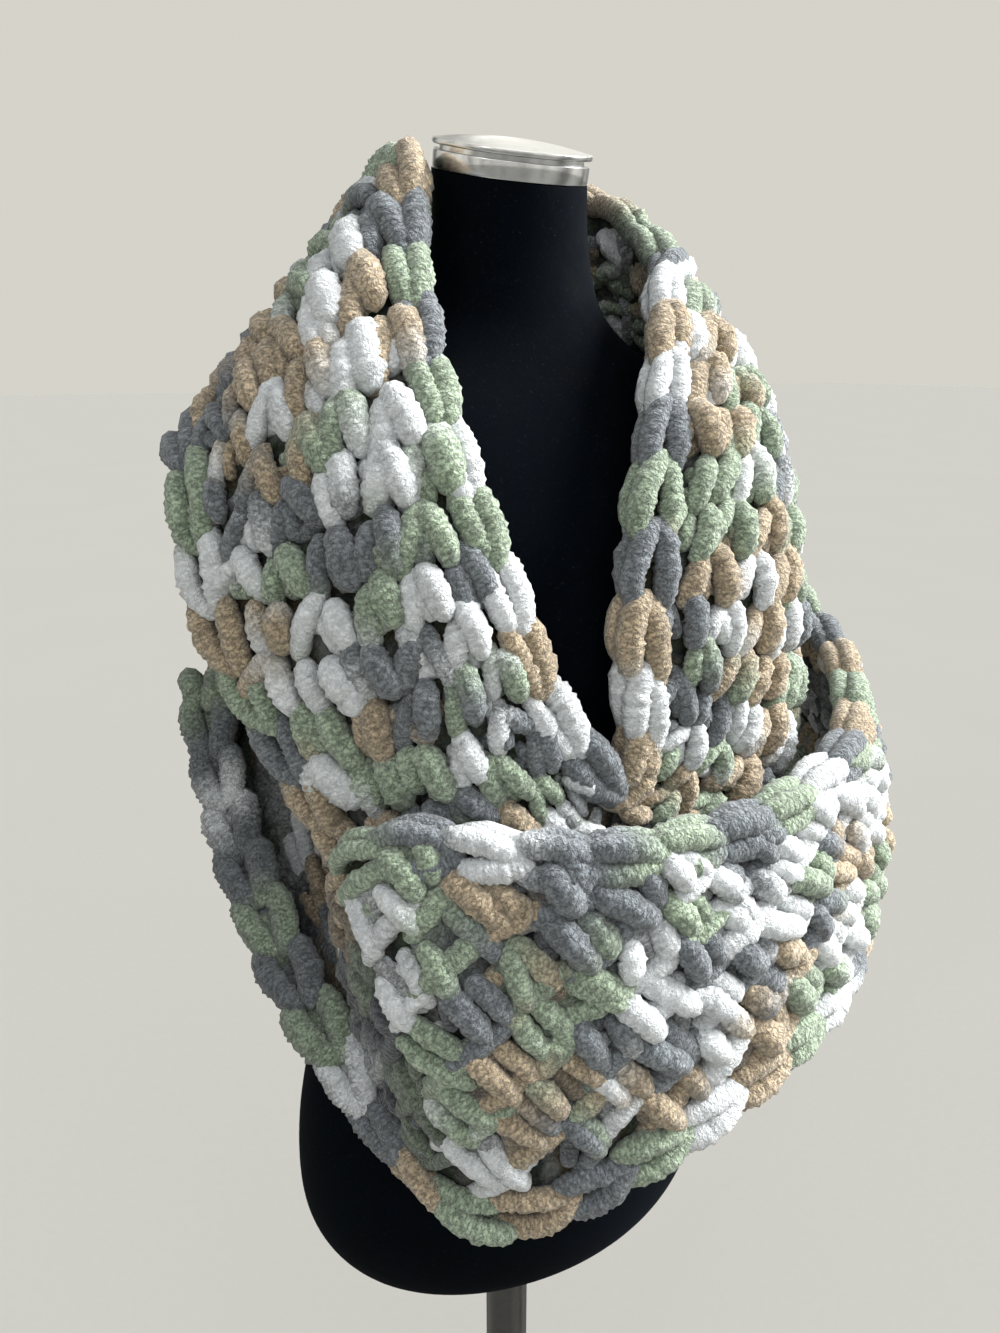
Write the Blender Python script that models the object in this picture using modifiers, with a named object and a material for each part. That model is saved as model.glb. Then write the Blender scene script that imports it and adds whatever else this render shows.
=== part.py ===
"""Chunky crochet infinity scarf, wound twice round a limbless dress form on a stand.

Metres, +Z up, the form's front faces -Y. The origin is the centre of the base plate's underside.
The scarf is one endless band. Its run is a table of sections, each a row of three points on the
band's plain inner face: the upper edge, the middle and the lower edge. A point is given by its turn
round the form's axis from the front (degrees, towards +X), its distance from the axis and its
height (millimetres).
"""
import math
from collections import namedtuple

import bmesh
import bpy
import numpy as np
from mathutils import Vector

MM = 0.001
TOUCH_GAP = 0.0003

# Stand
BASE_RADIUS = 0.140
BASE_THICKNESS = 0.012
BASE_EDGE_ROUND = 0.003
POLE_RADIUS = 0.017
ROUND_SEGMENTS = 48

# Neck cap, a turned metal band and lid on the tilted top of the neck
NECK_TOP_HEIGHT = 1.141
NECK_TILT = math.radians(14.0)
CAP_RADIUS = 0.0465
CAP_BAND_HEIGHT = 0.0100
CAP_EDGE_ROUND = 0.0008
GROOVE_RADIUS = 0.0430
GROOVE_HEIGHT = 0.0024
LID_RADIUS = 0.0475
LID_LIP_HEIGHT = 0.0030
LID_DOME_RISE = 0.0042
LID_DOME_STEPS = 5
CAP_COLOUR = (0.80, 0.80, 0.80)

# Torso
TORSO_SEGMENTS = 40
TORSO_STEPS_PER_SECTION = 2

# Scarf band
RIDGE_PITCH = 0.031
STEPS_PER_RIDGE = 2
WALL = 0.0145
RIDGE_HEIGHT = 0.0065
EDGE_BRAID_HEIGHT = 0.0045
EDGE_NOSE = 0.0075
SEAT_CLEARANCE = 0.0014
ROWS_ACROSS = (0.02, 0.15, 0.32, 0.50, 0.68, 0.85, 0.98)
ARC_SAMPLES_PER_SECTION = 24
PROBE = 0.02
SEAM_MARGIN = 0.25
EDGE_FADE_POWER = 6
NOSE_AT_VALLEY = 0.7

TorsoSection = namedtuple("TorsoSection", "height half_width front_depth back_depth tilt")
TORSO = (
    TorsoSection(380, 66, 36, 34, 0),
    TorsoSection(389, 116, 72, 66, 0),
    TorsoSection(410, 145, 100, 90, 0),
    TorsoSection(450, 162, 114, 106, 0),
    TorsoSection(510, 162, 116, 112, 0),
    TorsoSection(580, 148, 108, 104, 0),
    TorsoSection(650, 127, 98, 86, 0),
    TorsoSection(720, 128, 104, 84, 0),
    TorsoSection(790, 143, 118, 94, 0),
    TorsoSection(860, 155, 124, 102, 0),
    TorsoSection(930, 165, 111, 104, 0),
    TorsoSection(972, 168, 92, 96, 0),
    TorsoSection(1003, 156, 76, 84, 0),
    TorsoSection(1024, 124, 65, 71, 0),
    TorsoSection(1044, 84, 58, 60, 2),
    TorsoSection(1068, 58, 52, 52, 5),
    TorsoSection(1104, 48, 47, 46, 10),
    TorsoSection(1141, 46, 46, 46, 14),
)

Spot = namedtuple("Spot", "turn radius height")
Section = namedtuple("Section", "name upper middle lower wall_share")
SCARF = (
    Section("v_point", Spot(-4, 141, 814), Spot(-6, 146, 738), Spot(-8, 142, 652), 1.0),
    Section("v_right", Spot(0, 140, 826), Spot(17, 148, 766), Spot(34, 158, 692), 1.0),
    Section("right_low", Spot(0, 138, 864), Spot(32, 156, 826), Spot(62, 180, 784), 1.0),
    Section("right_chest", Spot(0, 133, 908), Spot(37, 160, 892), Spot(74, 188, 866), 1.0),
    Section("right_breast", Spot(8, 120, 963), Spot(46, 151, 968), Spot(82, 184, 940), 1.0),
    Section("right_upper", Spot(27, 100, 1018), Spot(59, 133, 1022), Spot(89, 182, 986), 1.0),
    Section("right_shoulder", Spot(57, 88, 1068), Spot(78, 122, 1057), Spot(98, 182, 984), 1.0),
    Section("right_nape", Spot(88, 98, 1099), Spot(101, 122, 1056), Spot(112, 165, 965), 1.0),
    Section("collar_right", Spot(116, 98, 1132), Spot(124, 124, 1058), Spot(130, 148, 955), 1.0),
    Section("collar_middle", Spot(150, 88, 1148), Spot(154, 106, 1056), Spot(158, 120, 950), 1.0),
    Section("back_in", Spot(184, 84, 1128), Spot(188, 106, 1032), Spot(192, 116, 930), 1.0),
    Section("back_in_low", Spot(206, 92, 1052), Spot(210, 112, 958), Spot(214, 122, 860), 1.0),
    Section("left_rear", Spot(225, 122, 965), Spot(227, 140, 876), Spot(229, 166, 796), 1.0),
    Section("sling_lift", Spot(240, 142, 872), Spot(240, 173, 796), Spot(240, 208, 803), 0.8),
    Section("sling_rear", Spot(254, 144, 786), Spot(253, 181, 742), Spot(252, 216, 836), 0.64),
    Section("sling_side", Spot(268, 139, 732), Spot(265, 175, 694), Spot(262, 210, 776), 0.62),
    Section("sling_low", Spot(280, 138, 704), Spot(280, 168, 658), Spot(280, 203, 711), 0.6),
    Section("sling_turn", Spot(290, 145, 694), Spot(293, 166, 641), Spot(300, 207, 654), 0.6),
    Section("fold_inner", Spot(300, 162, 708), Spot(307, 176, 646), Spot(316, 209, 606), 0.46),
    Section("front_fold", Spot(307, 190, 790), Spot(322, 212, 692), Spot(334, 214, 590), 0.6),
    Section("front_left", Spot(324, 181, 802), Spot(336, 206, 704), Spot(346, 214, 606), 0.8),
    Section("front_middle", Spot(345, 184, 796), Spot(349, 204, 712), Spot(353, 216, 622), 1.0),
    Section("front_right", Spot(366, 188, 794), Spot(370, 208, 724), Spot(374, 217, 650), 1.0),
    Section("front_turn", Spot(388, 200, 802), Spot(394, 219, 736), Spot(398, 226, 664), 1.0),
    Section("pocket_front", Spot(412, 216, 815), Spot(416, 237, 748), Spot(420, 236, 674), 1.0),
    Section("pocket_side", Spot(438, 226, 850), Spot(440, 243, 775), Spot(442, 234, 696), 1.0),
    Section("pocket_rear", Spot(464, 216, 906), Spot(464, 226, 824), Spot(464, 216, 730), 1.0),
    Section("right_rear", Spot(490, 178, 968), Spot(490, 184, 886), Spot(490, 176, 792), 1.0),
    Section("back_out", Spot(522, 150, 1016), Spot(522, 156, 924), Spot(520, 146, 826), 1.0),
    Section("back_out_middle", Spot(554, 136, 1062), Spot(552, 152, 964), Spot(550, 152, 862), 1.0),
    Section("back_out_high", Spot(584, 113, 1084), Spot(582, 143, 998), Spot(578, 164, 898), 1.0),
    Section("left_nape", Spot(612, 60, 1138), Spot(610, 120, 1062), Spot(608, 178, 962), 1.0),
    Section("left_shoulder", Spot(636, 60, 1130), Spot(631, 127, 1060), Spot(623, 192, 984), 1.0),
    Section("left_upper", Spot(660, 94, 1064), Spot(646, 146, 1034), Spot(631, 196, 965), 1.0),
    Section("left_breast", Spot(678, 122, 992), Spot(658, 158, 974), Spot(632, 196, 938), 1.0),
    Section("left_chest", Spot(690, 134, 924), Spot(668, 162, 908), Spot(635, 188, 886), 1.0),
    Section("left_low", Spot(700, 138, 868), Spot(679, 157, 830), Spot(649, 166, 808), 1.0),
    Section("v_left", Spot(711, 141, 830), Spot(694, 148, 762), Spot(677, 152, 702), 1.0),
)

Stretch = namedtuple("Stretch", "name first last colour")
STRETCHES = (
    Stretch("scarf_right_panel", "v_point", "right_shoulder", (0.66, 0.68, 0.62)),
    Stretch("scarf_collar", "right_shoulder", "back_in", (0.60, 0.58, 0.54)),
    Stretch("scarf_back_in", "back_in", "left_rear", (0.52, 0.54, 0.55)),
    Stretch("scarf_left_sling", "left_rear", "front_fold", (0.58, 0.60, 0.60)),
    Stretch("scarf_front", "front_fold", "front_turn", (0.62, 0.60, 0.53)),
    Stretch("scarf_right_side", "front_turn", "right_rear", (0.60, 0.62, 0.58)),
    Stretch("scarf_back_out", "right_rear", "left_nape", (0.55, 0.56, 0.55)),
    Stretch("scarf_left_panel", "left_nape", "v_point", (0.64, 0.64, 0.60)),
)


def clear_scene():
    """Remove every object that the file starts with."""
    for thing in list(bpy.data.objects):
        bpy.data.objects.remove(thing, do_unlink=True)


def add_material(obj, colour, roughness, metallic=0.0):
    """Give the object its own Principled material."""
    material = bpy.data.materials.new(obj.name)
    material.use_nodes = True
    shader = material.node_tree.nodes["Principled BSDF"]
    shader.inputs["Base Color"].default_value = (*colour, 1.0)
    shader.inputs["Roughness"].default_value = roughness
    shader.inputs["Metallic"].default_value = metallic
    obj.data.materials.append(material)


def curve_through(before, start, end, after, share):
    """Point on the smooth curve from start to end that passes its neighbours' way."""
    linear = (end - before) * share
    square = (2 * before - 5 * start + 4 * end - after) * share ** 2
    cube = (3 * start - before - 3 * end + after) * share ** 3
    return start + 0.5 * (linear + square + cube)


def torso_section(place):
    """Torso sizes at a place along the torso table, in metres and degrees."""
    last = len(TORSO) - 1
    index = min(int(place), last - 1)
    rows = [np.array(TORSO[min(max(index + step, 0), last)], dtype=float) for step in (-1, 0, 1, 2)]
    mixed = curve_through(*rows, place - index)
    mixed[:4] *= MM
    return TorsoSection(*mixed)


def torso_point(section, angle):
    """Point of a torso section at an angle from the front."""
    depth = section.front_depth if math.cos(angle) > 0 else section.back_depth
    x = section.half_width * math.sin(angle)
    y = -depth * math.cos(angle)
    return Vector((x, y, section.height + y * math.tan(math.radians(section.tilt))))


def torso_radius(turn, height):
    """Distance from the axis to the torso's skin at a turn and a height."""
    heights = [row.height * MM for row in TORSO]
    if height <= heights[0] or height >= heights[-1]:
        return 0.0
    index = max(place for place, low in enumerate(heights[:-1]) if low <= height)
    share = (height - heights[index]) / (heights[index + 1] - heights[index])
    sizes = torso_section(index + share)
    depth = sizes.front_depth if math.cos(turn) > 0 else sizes.back_depth
    return 1.0 / math.hypot(math.sin(turn) / sizes.half_width, math.cos(turn) / depth)


def add_torso(collection):
    """Loft the velvet torso through its sections, closed at the bottom and under the cap."""
    mesh = bmesh.new()
    rings = []
    steps = (len(TORSO) - 1) * TORSO_STEPS_PER_SECTION
    for step in range(steps + 1):
        section = torso_section(step / TORSO_STEPS_PER_SECTION)
        angles = [2 * math.pi * turn / TORSO_SEGMENTS for turn in range(TORSO_SEGMENTS)]
        rings.append([mesh.verts.new(torso_point(section, angle)) for angle in angles])
    for low, high in zip(rings, rings[1:]):
        for side in range(TORSO_SEGMENTS):
            after = (side + 1) % TORSO_SEGMENTS
            mesh.faces.new((low[side], low[after], high[after], high[side]))
    mesh.faces.new(reversed(rings[0]))
    mesh.faces.new(rings[-1])
    data = bpy.data.meshes.new("form_torso")
    mesh.to_mesh(data)
    mesh.free()
    torso = bpy.data.objects.new("form_torso", data)
    collection.objects.link(torso)
    data.shade_smooth()
    data.set_sharp_from_angle(angle=math.radians(50))
    add_material(torso, (0.006, 0.009, 0.016), 0.95)


def add_turned(name, profile, collection, colour, roughness, metallic):
    """Turn a closed-at-the-axis profile, given top to bottom as (radius, height), into a solid."""
    mesh = bmesh.new()
    verts = [mesh.verts.new((radius, 0.0, height)) for radius, height in profile]
    for start, end in zip(verts, verts[1:]):
        mesh.edges.new((start, end))
    data = bpy.data.meshes.new(name)
    mesh.to_mesh(data)
    mesh.free()
    turned = bpy.data.objects.new(name, data)
    collection.objects.link(turned)
    screw = turned.modifiers.new("Turn", "SCREW")
    screw.steps = ROUND_SEGMENTS
    screw.render_steps = ROUND_SEGMENTS
    screw.use_merge_vertices = True
    screw.merge_threshold = 0.00005
    add_material(turned, colour, roughness, metallic)
    return turned


def add_neck_cap(collection):
    """Seat the polished band and its domed lid on the tilted top of the neck."""
    rounding = CAP_EDGE_ROUND
    band_top = CAP_BAND_HEIGHT
    groove_top = band_top + GROOVE_HEIGHT
    band_profile = [
        (0.0, groove_top), (GROOVE_RADIUS, groove_top), (GROOVE_RADIUS, band_top),
        (CAP_RADIUS - rounding, band_top), (CAP_RADIUS, band_top - rounding),
        (CAP_RADIUS, rounding), (CAP_RADIUS - rounding, 0.0), (0.0, 0.0),
    ]
    lid_low = groove_top + TOUCH_GAP
    lip_top = lid_low + LID_LIP_HEIGHT
    dome = []
    for step in range(LID_DOME_STEPS + 1):
        share = step / LID_DOME_STEPS
        radius = (LID_RADIUS - 2 * rounding) * share
        dome.append((radius, lip_top + LID_DOME_RISE * (1.0 - share ** 2)))
    lid_profile = dome + [
        (LID_RADIUS, lip_top - rounding), (LID_RADIUS, lid_low + rounding),
        (LID_RADIUS - rounding, lid_low), (0.0, lid_low),
    ]
    for name, profile in (("neck_band", band_profile), ("neck_cap", lid_profile)):
        piece = add_turned(name, profile, collection, CAP_COLOUR, 0.18, 1.0)
        piece.rotation_euler = (NECK_TILT, 0.0, 0.0)
        up = Vector((0.0, -math.sin(NECK_TILT), math.cos(NECK_TILT)))
        piece.location = Vector((0.0, 0.0, NECK_TOP_HEIGHT)) + up * TOUCH_GAP


def add_stand(collection):
    """Stand the form on a round base plate and a metal pole."""
    rounding = BASE_EDGE_ROUND
    plate = [
        (0.0, BASE_THICKNESS), (BASE_RADIUS - rounding, BASE_THICKNESS),
        (BASE_RADIUS, BASE_THICKNESS - rounding), (BASE_RADIUS, 0.0), (0.0, 0.0),
    ]
    add_turned("base_plate", plate, collection, (0.10, 0.10, 0.10), 0.35, 1.0)
    pole_low = BASE_THICKNESS + TOUCH_GAP
    pole_high = TORSO[0].height * MM - TOUCH_GAP
    pole = [(0.0, pole_high), (POLE_RADIUS, pole_high), (POLE_RADIUS, pole_low), (0.0, pole_low)]
    add_turned("pole", pole, collection, (0.12, 0.12, 0.12), 0.32, 1.0)


def scarf_rows(place):
    """The band's three points (turn in degrees, radius, height in millimetres) and its wall share."""
    count = len(SCARF)
    index = math.floor(place)
    rows = []
    for step in (-1, 0, 1, 2):
        laps, row = divmod(index + step, count)
        section = SCARF[row]
        spots = np.array([section.upper, section.middle, section.lower], dtype=float)
        spots[:, 0] += 720.0 * laps
        rows.append((spots, section.wall_share))
    spots = curve_through(*(row[0] for row in rows), place - index)
    share = place - index
    return spots, rows[1][1] * (1.0 - share) + rows[2][1] * share


def scarf_point(place, across):
    """Point of the band's inner face, across going from the upper edge (0) to the lower edge (1)."""
    spots = scarf_rows(place)[0]
    turns = np.radians(spots[:, 0])
    radii = spots[:, 1] * MM
    corners = np.stack([radii * np.sin(turns), -radii * np.cos(turns), spots[:, 2] * MM], axis=1)
    pull = 2 * corners[1] - 0.5 * (corners[0] + corners[2])
    left = 1.0 - across
    point = left ** 2 * corners[0] + 2 * across * left * pull + across ** 2 * corners[2]
    turn = math.atan2(point[0], -point[1])
    radius = math.hypot(point[0], point[1])
    seat = torso_radius(turn, point[2]) + SEAT_CLEARANCE
    if radius < seat:
        point = np.array([seat * math.sin(turn), -seat * math.cos(turn), point[2]])
    return point


def unit(vector):
    """The vector at a length of one."""
    return vector / np.linalg.norm(vector)


def scarf_frame(place, across):
    """Point of the inner face, with the band's run, its outward normal and its way down there."""
    run = unit(scarf_point(place + PROBE, across) - scarf_point(place - PROBE, across))
    low, high = min(across + PROBE, 1.0), max(across - PROBE, 0.0)
    down = unit(scarf_point(place, low) - scarf_point(place, high))
    return scarf_point(place, across), run, unit(np.cross(down, run)), down


def ridge_places():
    """Places along the table of every loft step, with the share of the ridge height that each has."""
    count = len(SCARF)
    samples = count * ARC_SAMPLES_PER_SECTION
    places = np.linspace(0.0, count, samples + 1)
    middle = np.array([scarf_point(place, 0.5) for place in places])
    run = np.concatenate([[0.0], np.cumsum(np.linalg.norm(np.diff(middle, axis=0), axis=1))])
    ridges = round(run[-1] / RIDGE_PITCH)
    steps = ridges * STEPS_PER_RIDGE
    return [float(np.interp(run[-1] * step / steps, run, places)) for step in range(steps)], run[-1]


def ring_points(place, height_share, shift):
    """One closed ring of the wall: the plain inner face, then the raised outer face back again."""
    wall_share = scarf_rows(place)[1]
    inner, outer = [], []
    for across in ROWS_ACROSS:
        point, run, outward, _ = scarf_frame(place, across)
        edge = abs(2 * across - 1) ** EDGE_FADE_POWER
        raised = WALL + RIDGE_HEIGHT * height_share * (1.0 - 0.5 * edge) + EDGE_BRAID_HEIGHT * edge
        inner.append(point + run * shift)
        outer.append(point + run * shift + outward * raised * wall_share)
    noses = []
    for across, sign in ((0.0, -1.0), (1.0, 1.0)):
        point, run, outward, down = scarf_frame(place, across)
        reach = down * EDGE_NOSE * sign * (NOSE_AT_VALLEY + (1.0 - NOSE_AT_VALLEY) * height_share)
        half = outward * (WALL + EDGE_BRAID_HEIGHT) * 0.5 * wall_share
        noses.append(point + run * shift + half + reach)
    return inner + [noses[1]] + outer[::-1] + [noses[0]]


def add_stretch(stretch, places, collection):
    """Loft one stretch of the band between two of the table's sections."""
    names = [section.name for section in SCARF]
    first = names.index(stretch.first)
    last = names.index(stretch.last) or len(SCARF)
    margin = SEAM_MARGIN * len(SCARF) / len(places)
    inside = [(place, step) for step, place in enumerate(places)
              if first + margin < place < last - margin]
    stations = [(first, 0.0, TOUCH_GAP / 2)]
    stations += [(place, float(step % STEPS_PER_RIDGE > 0), 0.0) for place, step in inside]
    stations += [(last, 0.0, -TOUCH_GAP / 2)]
    mesh = bmesh.new()
    rings = [[mesh.verts.new(point) for point in ring_points(*station)] for station in stations]
    size = len(rings[0])
    for here, there in zip(rings, rings[1:]):
        for side in range(size):
            after = (side + 1) % size
            mesh.faces.new((here[side], here[after], there[after], there[side]))
    rows = len(ROWS_ACROSS)
    for ring, flip in ((rings[0], True), (rings[-1], False)):
        inner, outer = ring[:rows], ring[rows + 1:2 * rows + 1][::-1]
        strips = [(inner[row], inner[row + 1], outer[row + 1], outer[row]) for row in range(rows - 1)]
        for low, after, across, high in strips:
            for corner in ((low, after, across), (low, across, high)):
                mesh.faces.new(tuple(reversed(corner)) if flip else corner)
        for corner in ((ring[-1], inner[0], outer[0]), (inner[-1], ring[rows], outer[-1])):
            mesh.faces.new(tuple(reversed(corner)) if flip else corner)
    bmesh.ops.recalc_face_normals(mesh, faces=mesh.faces)
    data = bpy.data.meshes.new(stretch.name)
    mesh.to_mesh(data)
    mesh.free()
    obj = bpy.data.objects.new(stretch.name, data)
    collection.objects.link(obj)
    add_material(obj, stretch.colour, 0.95)


def main():
    """Build the dress form, its stand and the scarf."""
    clear_scene()
    collection = bpy.data.collections.new("crochet_scarf_on_dress_form")
    bpy.context.scene.collection.children.link(collection)
    add_stand(collection)
    add_torso(collection)
    add_neck_cap(collection)
    places, length = ridge_places()
    for stretch in STRETCHES:
        add_stretch(stretch, places, collection)
    print(f"band length along its middle {length:.3f} m, {len(places) // STEPS_PER_RIDGE} ridges")


main()
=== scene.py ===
"""Looks of a chunky crochet infinity scarf, wound twice round a velvet dress form on a stand.

Metres, +Z up, the form's front faces -Y. The scarf is one endless band. Its run is a table of
sections, the same as in the CAD source, and every strand of yarn is laid on the surface that the
table gives.
"""
from __future__ import annotations

import logging
import math
from collections.abc import Sequence
from dataclasses import dataclass, field
from enum import Enum
from typing import NamedTuple, Union

import bpy
import numpy as np
from mathutils import Matrix, Vector

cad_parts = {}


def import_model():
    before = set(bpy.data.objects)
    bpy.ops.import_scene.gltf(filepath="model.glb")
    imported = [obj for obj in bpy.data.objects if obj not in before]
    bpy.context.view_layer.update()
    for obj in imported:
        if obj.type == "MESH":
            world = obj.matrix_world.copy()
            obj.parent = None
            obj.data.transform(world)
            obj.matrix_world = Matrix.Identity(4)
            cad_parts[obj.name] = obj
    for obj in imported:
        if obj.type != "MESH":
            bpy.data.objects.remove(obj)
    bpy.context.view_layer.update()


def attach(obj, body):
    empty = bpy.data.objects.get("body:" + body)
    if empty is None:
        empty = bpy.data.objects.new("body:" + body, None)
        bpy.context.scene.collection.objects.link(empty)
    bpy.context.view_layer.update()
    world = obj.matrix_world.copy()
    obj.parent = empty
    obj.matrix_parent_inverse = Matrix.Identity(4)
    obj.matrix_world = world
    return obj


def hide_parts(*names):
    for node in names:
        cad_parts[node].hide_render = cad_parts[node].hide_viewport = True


LOG = logging.getLogger("crochet_scarf")
MM = 0.001
BODY = "root"
Triple = tuple[float, float, float]
Colour = Triple
Feed = Union[bpy.types.NodeSocket, float, tuple[float, ...]]


class TorsoSection(NamedTuple):
    """One level of the torso: millimetres, and the tilt of the level in degrees."""

    height: float
    half_width: float
    front_depth: float
    back_depth: float
    tilt: float


class Spot(NamedTuple):
    """A point by its turn from the front (degrees), distance from the axis and height (mm)."""

    turn: float
    radius: float
    height: float


class Section(NamedTuple):
    """One section of the band: three points of its inner face and the share of its full wall."""

    name: str
    upper: Spot
    middle: Spot
    lower: Spot
    wall_share: float


TORSO = (
    TorsoSection(380, 66, 36, 34, 0),
    TorsoSection(389, 116, 72, 66, 0),
    TorsoSection(410, 145, 100, 90, 0),
    TorsoSection(450, 162, 114, 106, 0),
    TorsoSection(510, 162, 116, 112, 0),
    TorsoSection(580, 148, 108, 104, 0),
    TorsoSection(650, 127, 98, 86, 0),
    TorsoSection(720, 128, 104, 84, 0),
    TorsoSection(790, 143, 118, 94, 0),
    TorsoSection(860, 155, 124, 102, 0),
    TorsoSection(930, 165, 111, 104, 0),
    TorsoSection(972, 168, 92, 96, 0),
    TorsoSection(1003, 156, 76, 84, 0),
    TorsoSection(1024, 124, 65, 71, 0),
    TorsoSection(1044, 84, 58, 60, 2),
    TorsoSection(1068, 58, 52, 52, 5),
    TorsoSection(1104, 48, 47, 46, 10),
    TorsoSection(1141, 46, 46, 46, 14),
)

SCARF = (
    Section("v_point", Spot(-4, 141, 814), Spot(-6, 146, 738), Spot(-8, 142, 652), 1.0),
    Section("v_right", Spot(0, 140, 826), Spot(17, 148, 766), Spot(34, 158, 692), 1.0),
    Section("right_low", Spot(0, 138, 864), Spot(32, 156, 826), Spot(62, 180, 784), 1.0),
    Section("right_chest", Spot(0, 133, 908), Spot(37, 160, 892), Spot(74, 188, 866), 1.0),
    Section("right_breast", Spot(8, 120, 963), Spot(46, 151, 968), Spot(82, 184, 940), 1.0),
    Section("right_upper", Spot(27, 100, 1018), Spot(59, 133, 1022), Spot(89, 182, 986), 1.0),
    Section("right_shoulder", Spot(57, 88, 1068), Spot(78, 122, 1057), Spot(98, 182, 984), 1.0),
    Section("right_nape", Spot(88, 98, 1099), Spot(101, 122, 1056), Spot(112, 165, 965), 1.0),
    Section("collar_right", Spot(116, 98, 1132), Spot(124, 124, 1058), Spot(130, 148, 955), 1.0),
    Section("collar_middle", Spot(150, 88, 1148), Spot(154, 106, 1056), Spot(158, 120, 950), 1.0),
    Section("back_in", Spot(184, 84, 1128), Spot(188, 106, 1032), Spot(192, 116, 930), 1.0),
    Section("back_in_low", Spot(206, 92, 1052), Spot(210, 112, 958), Spot(214, 122, 860), 1.0),
    Section("left_rear", Spot(225, 122, 965), Spot(227, 140, 876), Spot(229, 166, 796), 1.0),
    Section("sling_lift", Spot(240, 142, 872), Spot(240, 173, 796), Spot(240, 208, 803), 0.8),
    Section("sling_rear", Spot(254, 144, 786), Spot(253, 181, 742), Spot(252, 216, 836), 0.64),
    Section("sling_side", Spot(268, 139, 732), Spot(265, 175, 694), Spot(262, 210, 776), 0.62),
    Section("sling_low", Spot(280, 138, 704), Spot(280, 168, 658), Spot(280, 203, 711), 0.6),
    Section("sling_turn", Spot(290, 145, 694), Spot(293, 166, 641), Spot(300, 207, 654), 0.6),
    Section("fold_inner", Spot(300, 162, 708), Spot(307, 176, 646), Spot(316, 209, 606), 0.46),
    Section("front_fold", Spot(307, 190, 790), Spot(322, 212, 692), Spot(334, 214, 590), 0.6),
    Section("front_left", Spot(324, 181, 802), Spot(336, 206, 704), Spot(346, 214, 606), 0.8),
    Section("front_middle", Spot(345, 184, 796), Spot(349, 204, 712), Spot(353, 216, 622), 1.0),
    Section("front_right", Spot(366, 188, 794), Spot(370, 208, 724), Spot(374, 217, 650), 1.0),
    Section("front_turn", Spot(388, 200, 802), Spot(394, 219, 736), Spot(398, 226, 664), 1.0),
    Section("pocket_front", Spot(412, 216, 815), Spot(416, 237, 748), Spot(420, 236, 674), 1.0),
    Section("pocket_side", Spot(438, 226, 850), Spot(440, 243, 775), Spot(442, 234, 696), 1.0),
    Section("pocket_rear", Spot(464, 216, 906), Spot(464, 226, 824), Spot(464, 216, 730), 1.0),
    Section("right_rear", Spot(490, 178, 968), Spot(490, 184, 886), Spot(490, 176, 792), 1.0),
    Section("back_out", Spot(522, 150, 1016), Spot(522, 156, 924), Spot(520, 146, 826), 1.0),
    Section("back_out_middle", Spot(554, 136, 1062), Spot(552, 152, 964), Spot(550, 152, 862), 1.0),
    Section("back_out_high", Spot(584, 113, 1084), Spot(582, 143, 998), Spot(578, 164, 898), 1.0),
    Section("left_nape", Spot(612, 60, 1138), Spot(610, 120, 1062), Spot(608, 178, 962), 1.0),
    Section("left_shoulder", Spot(636, 60, 1130), Spot(631, 127, 1060), Spot(623, 192, 984), 1.0),
    Section("left_upper", Spot(660, 94, 1064), Spot(646, 146, 1034), Spot(631, 196, 965), 1.0),
    Section("left_breast", Spot(678, 122, 992), Spot(658, 158, 974), Spot(632, 196, 938), 1.0),
    Section("left_chest", Spot(690, 134, 924), Spot(668, 162, 908), Spot(635, 188, 886), 1.0),
    Section("left_low", Spot(700, 138, 868), Spot(679, 157, 830), Spot(649, 166, 808), 1.0),
    Section("v_left", Spot(711, 141, 830), Spot(694, 148, 762), Spot(677, 152, 702), 1.0),
)
LAPS_DEGREES = 720.0


class StitchLay(Enum):
    """How the stitches stand on the band: (along, across) signs of their right and their up."""

    UP_THE_BAND = ((0.0, 1.0), (1.0, 0.0))
    DOWN_THE_BAND = ((0.0, -1.0), (-1.0, 0.0))
    ACROSS_THE_BAND = ((1.0, 0.0), (0.0, -1.0))


class Face(Enum):
    """The face of the band that a row of stitches lies on."""

    OUTER = 1.0
    INNER = -1.0


class Stretch(NamedTuple):
    """A stretch of the band between two sections, and how its stitches lie."""

    name: str
    first: str
    last: str
    lay: StitchLay
    inner_stitches: bool
    rolled_lip: bool = False


STRETCHES = (
    Stretch("scarf_right_panel", "v_point", "right_shoulder", StitchLay.UP_THE_BAND, False),
    Stretch("scarf_collar", "right_shoulder", "back_in", StitchLay.UP_THE_BAND, True),
    Stretch("scarf_back_in", "back_in", "left_rear", StitchLay.ACROSS_THE_BAND, False),
    Stretch("scarf_left_sling", "left_rear", "front_fold", StitchLay.ACROSS_THE_BAND, True, True),
    Stretch("scarf_front", "front_fold", "front_turn", StitchLay.ACROSS_THE_BAND, True),
    Stretch("scarf_right_side", "front_turn", "right_rear", StitchLay.ACROSS_THE_BAND, True),
    Stretch("scarf_back_out", "right_rear", "left_nape", StitchLay.ACROSS_THE_BAND, False),
    Stretch("scarf_left_panel", "left_nape", "v_point", StitchLay.DOWN_THE_BAND, False),
)


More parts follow.
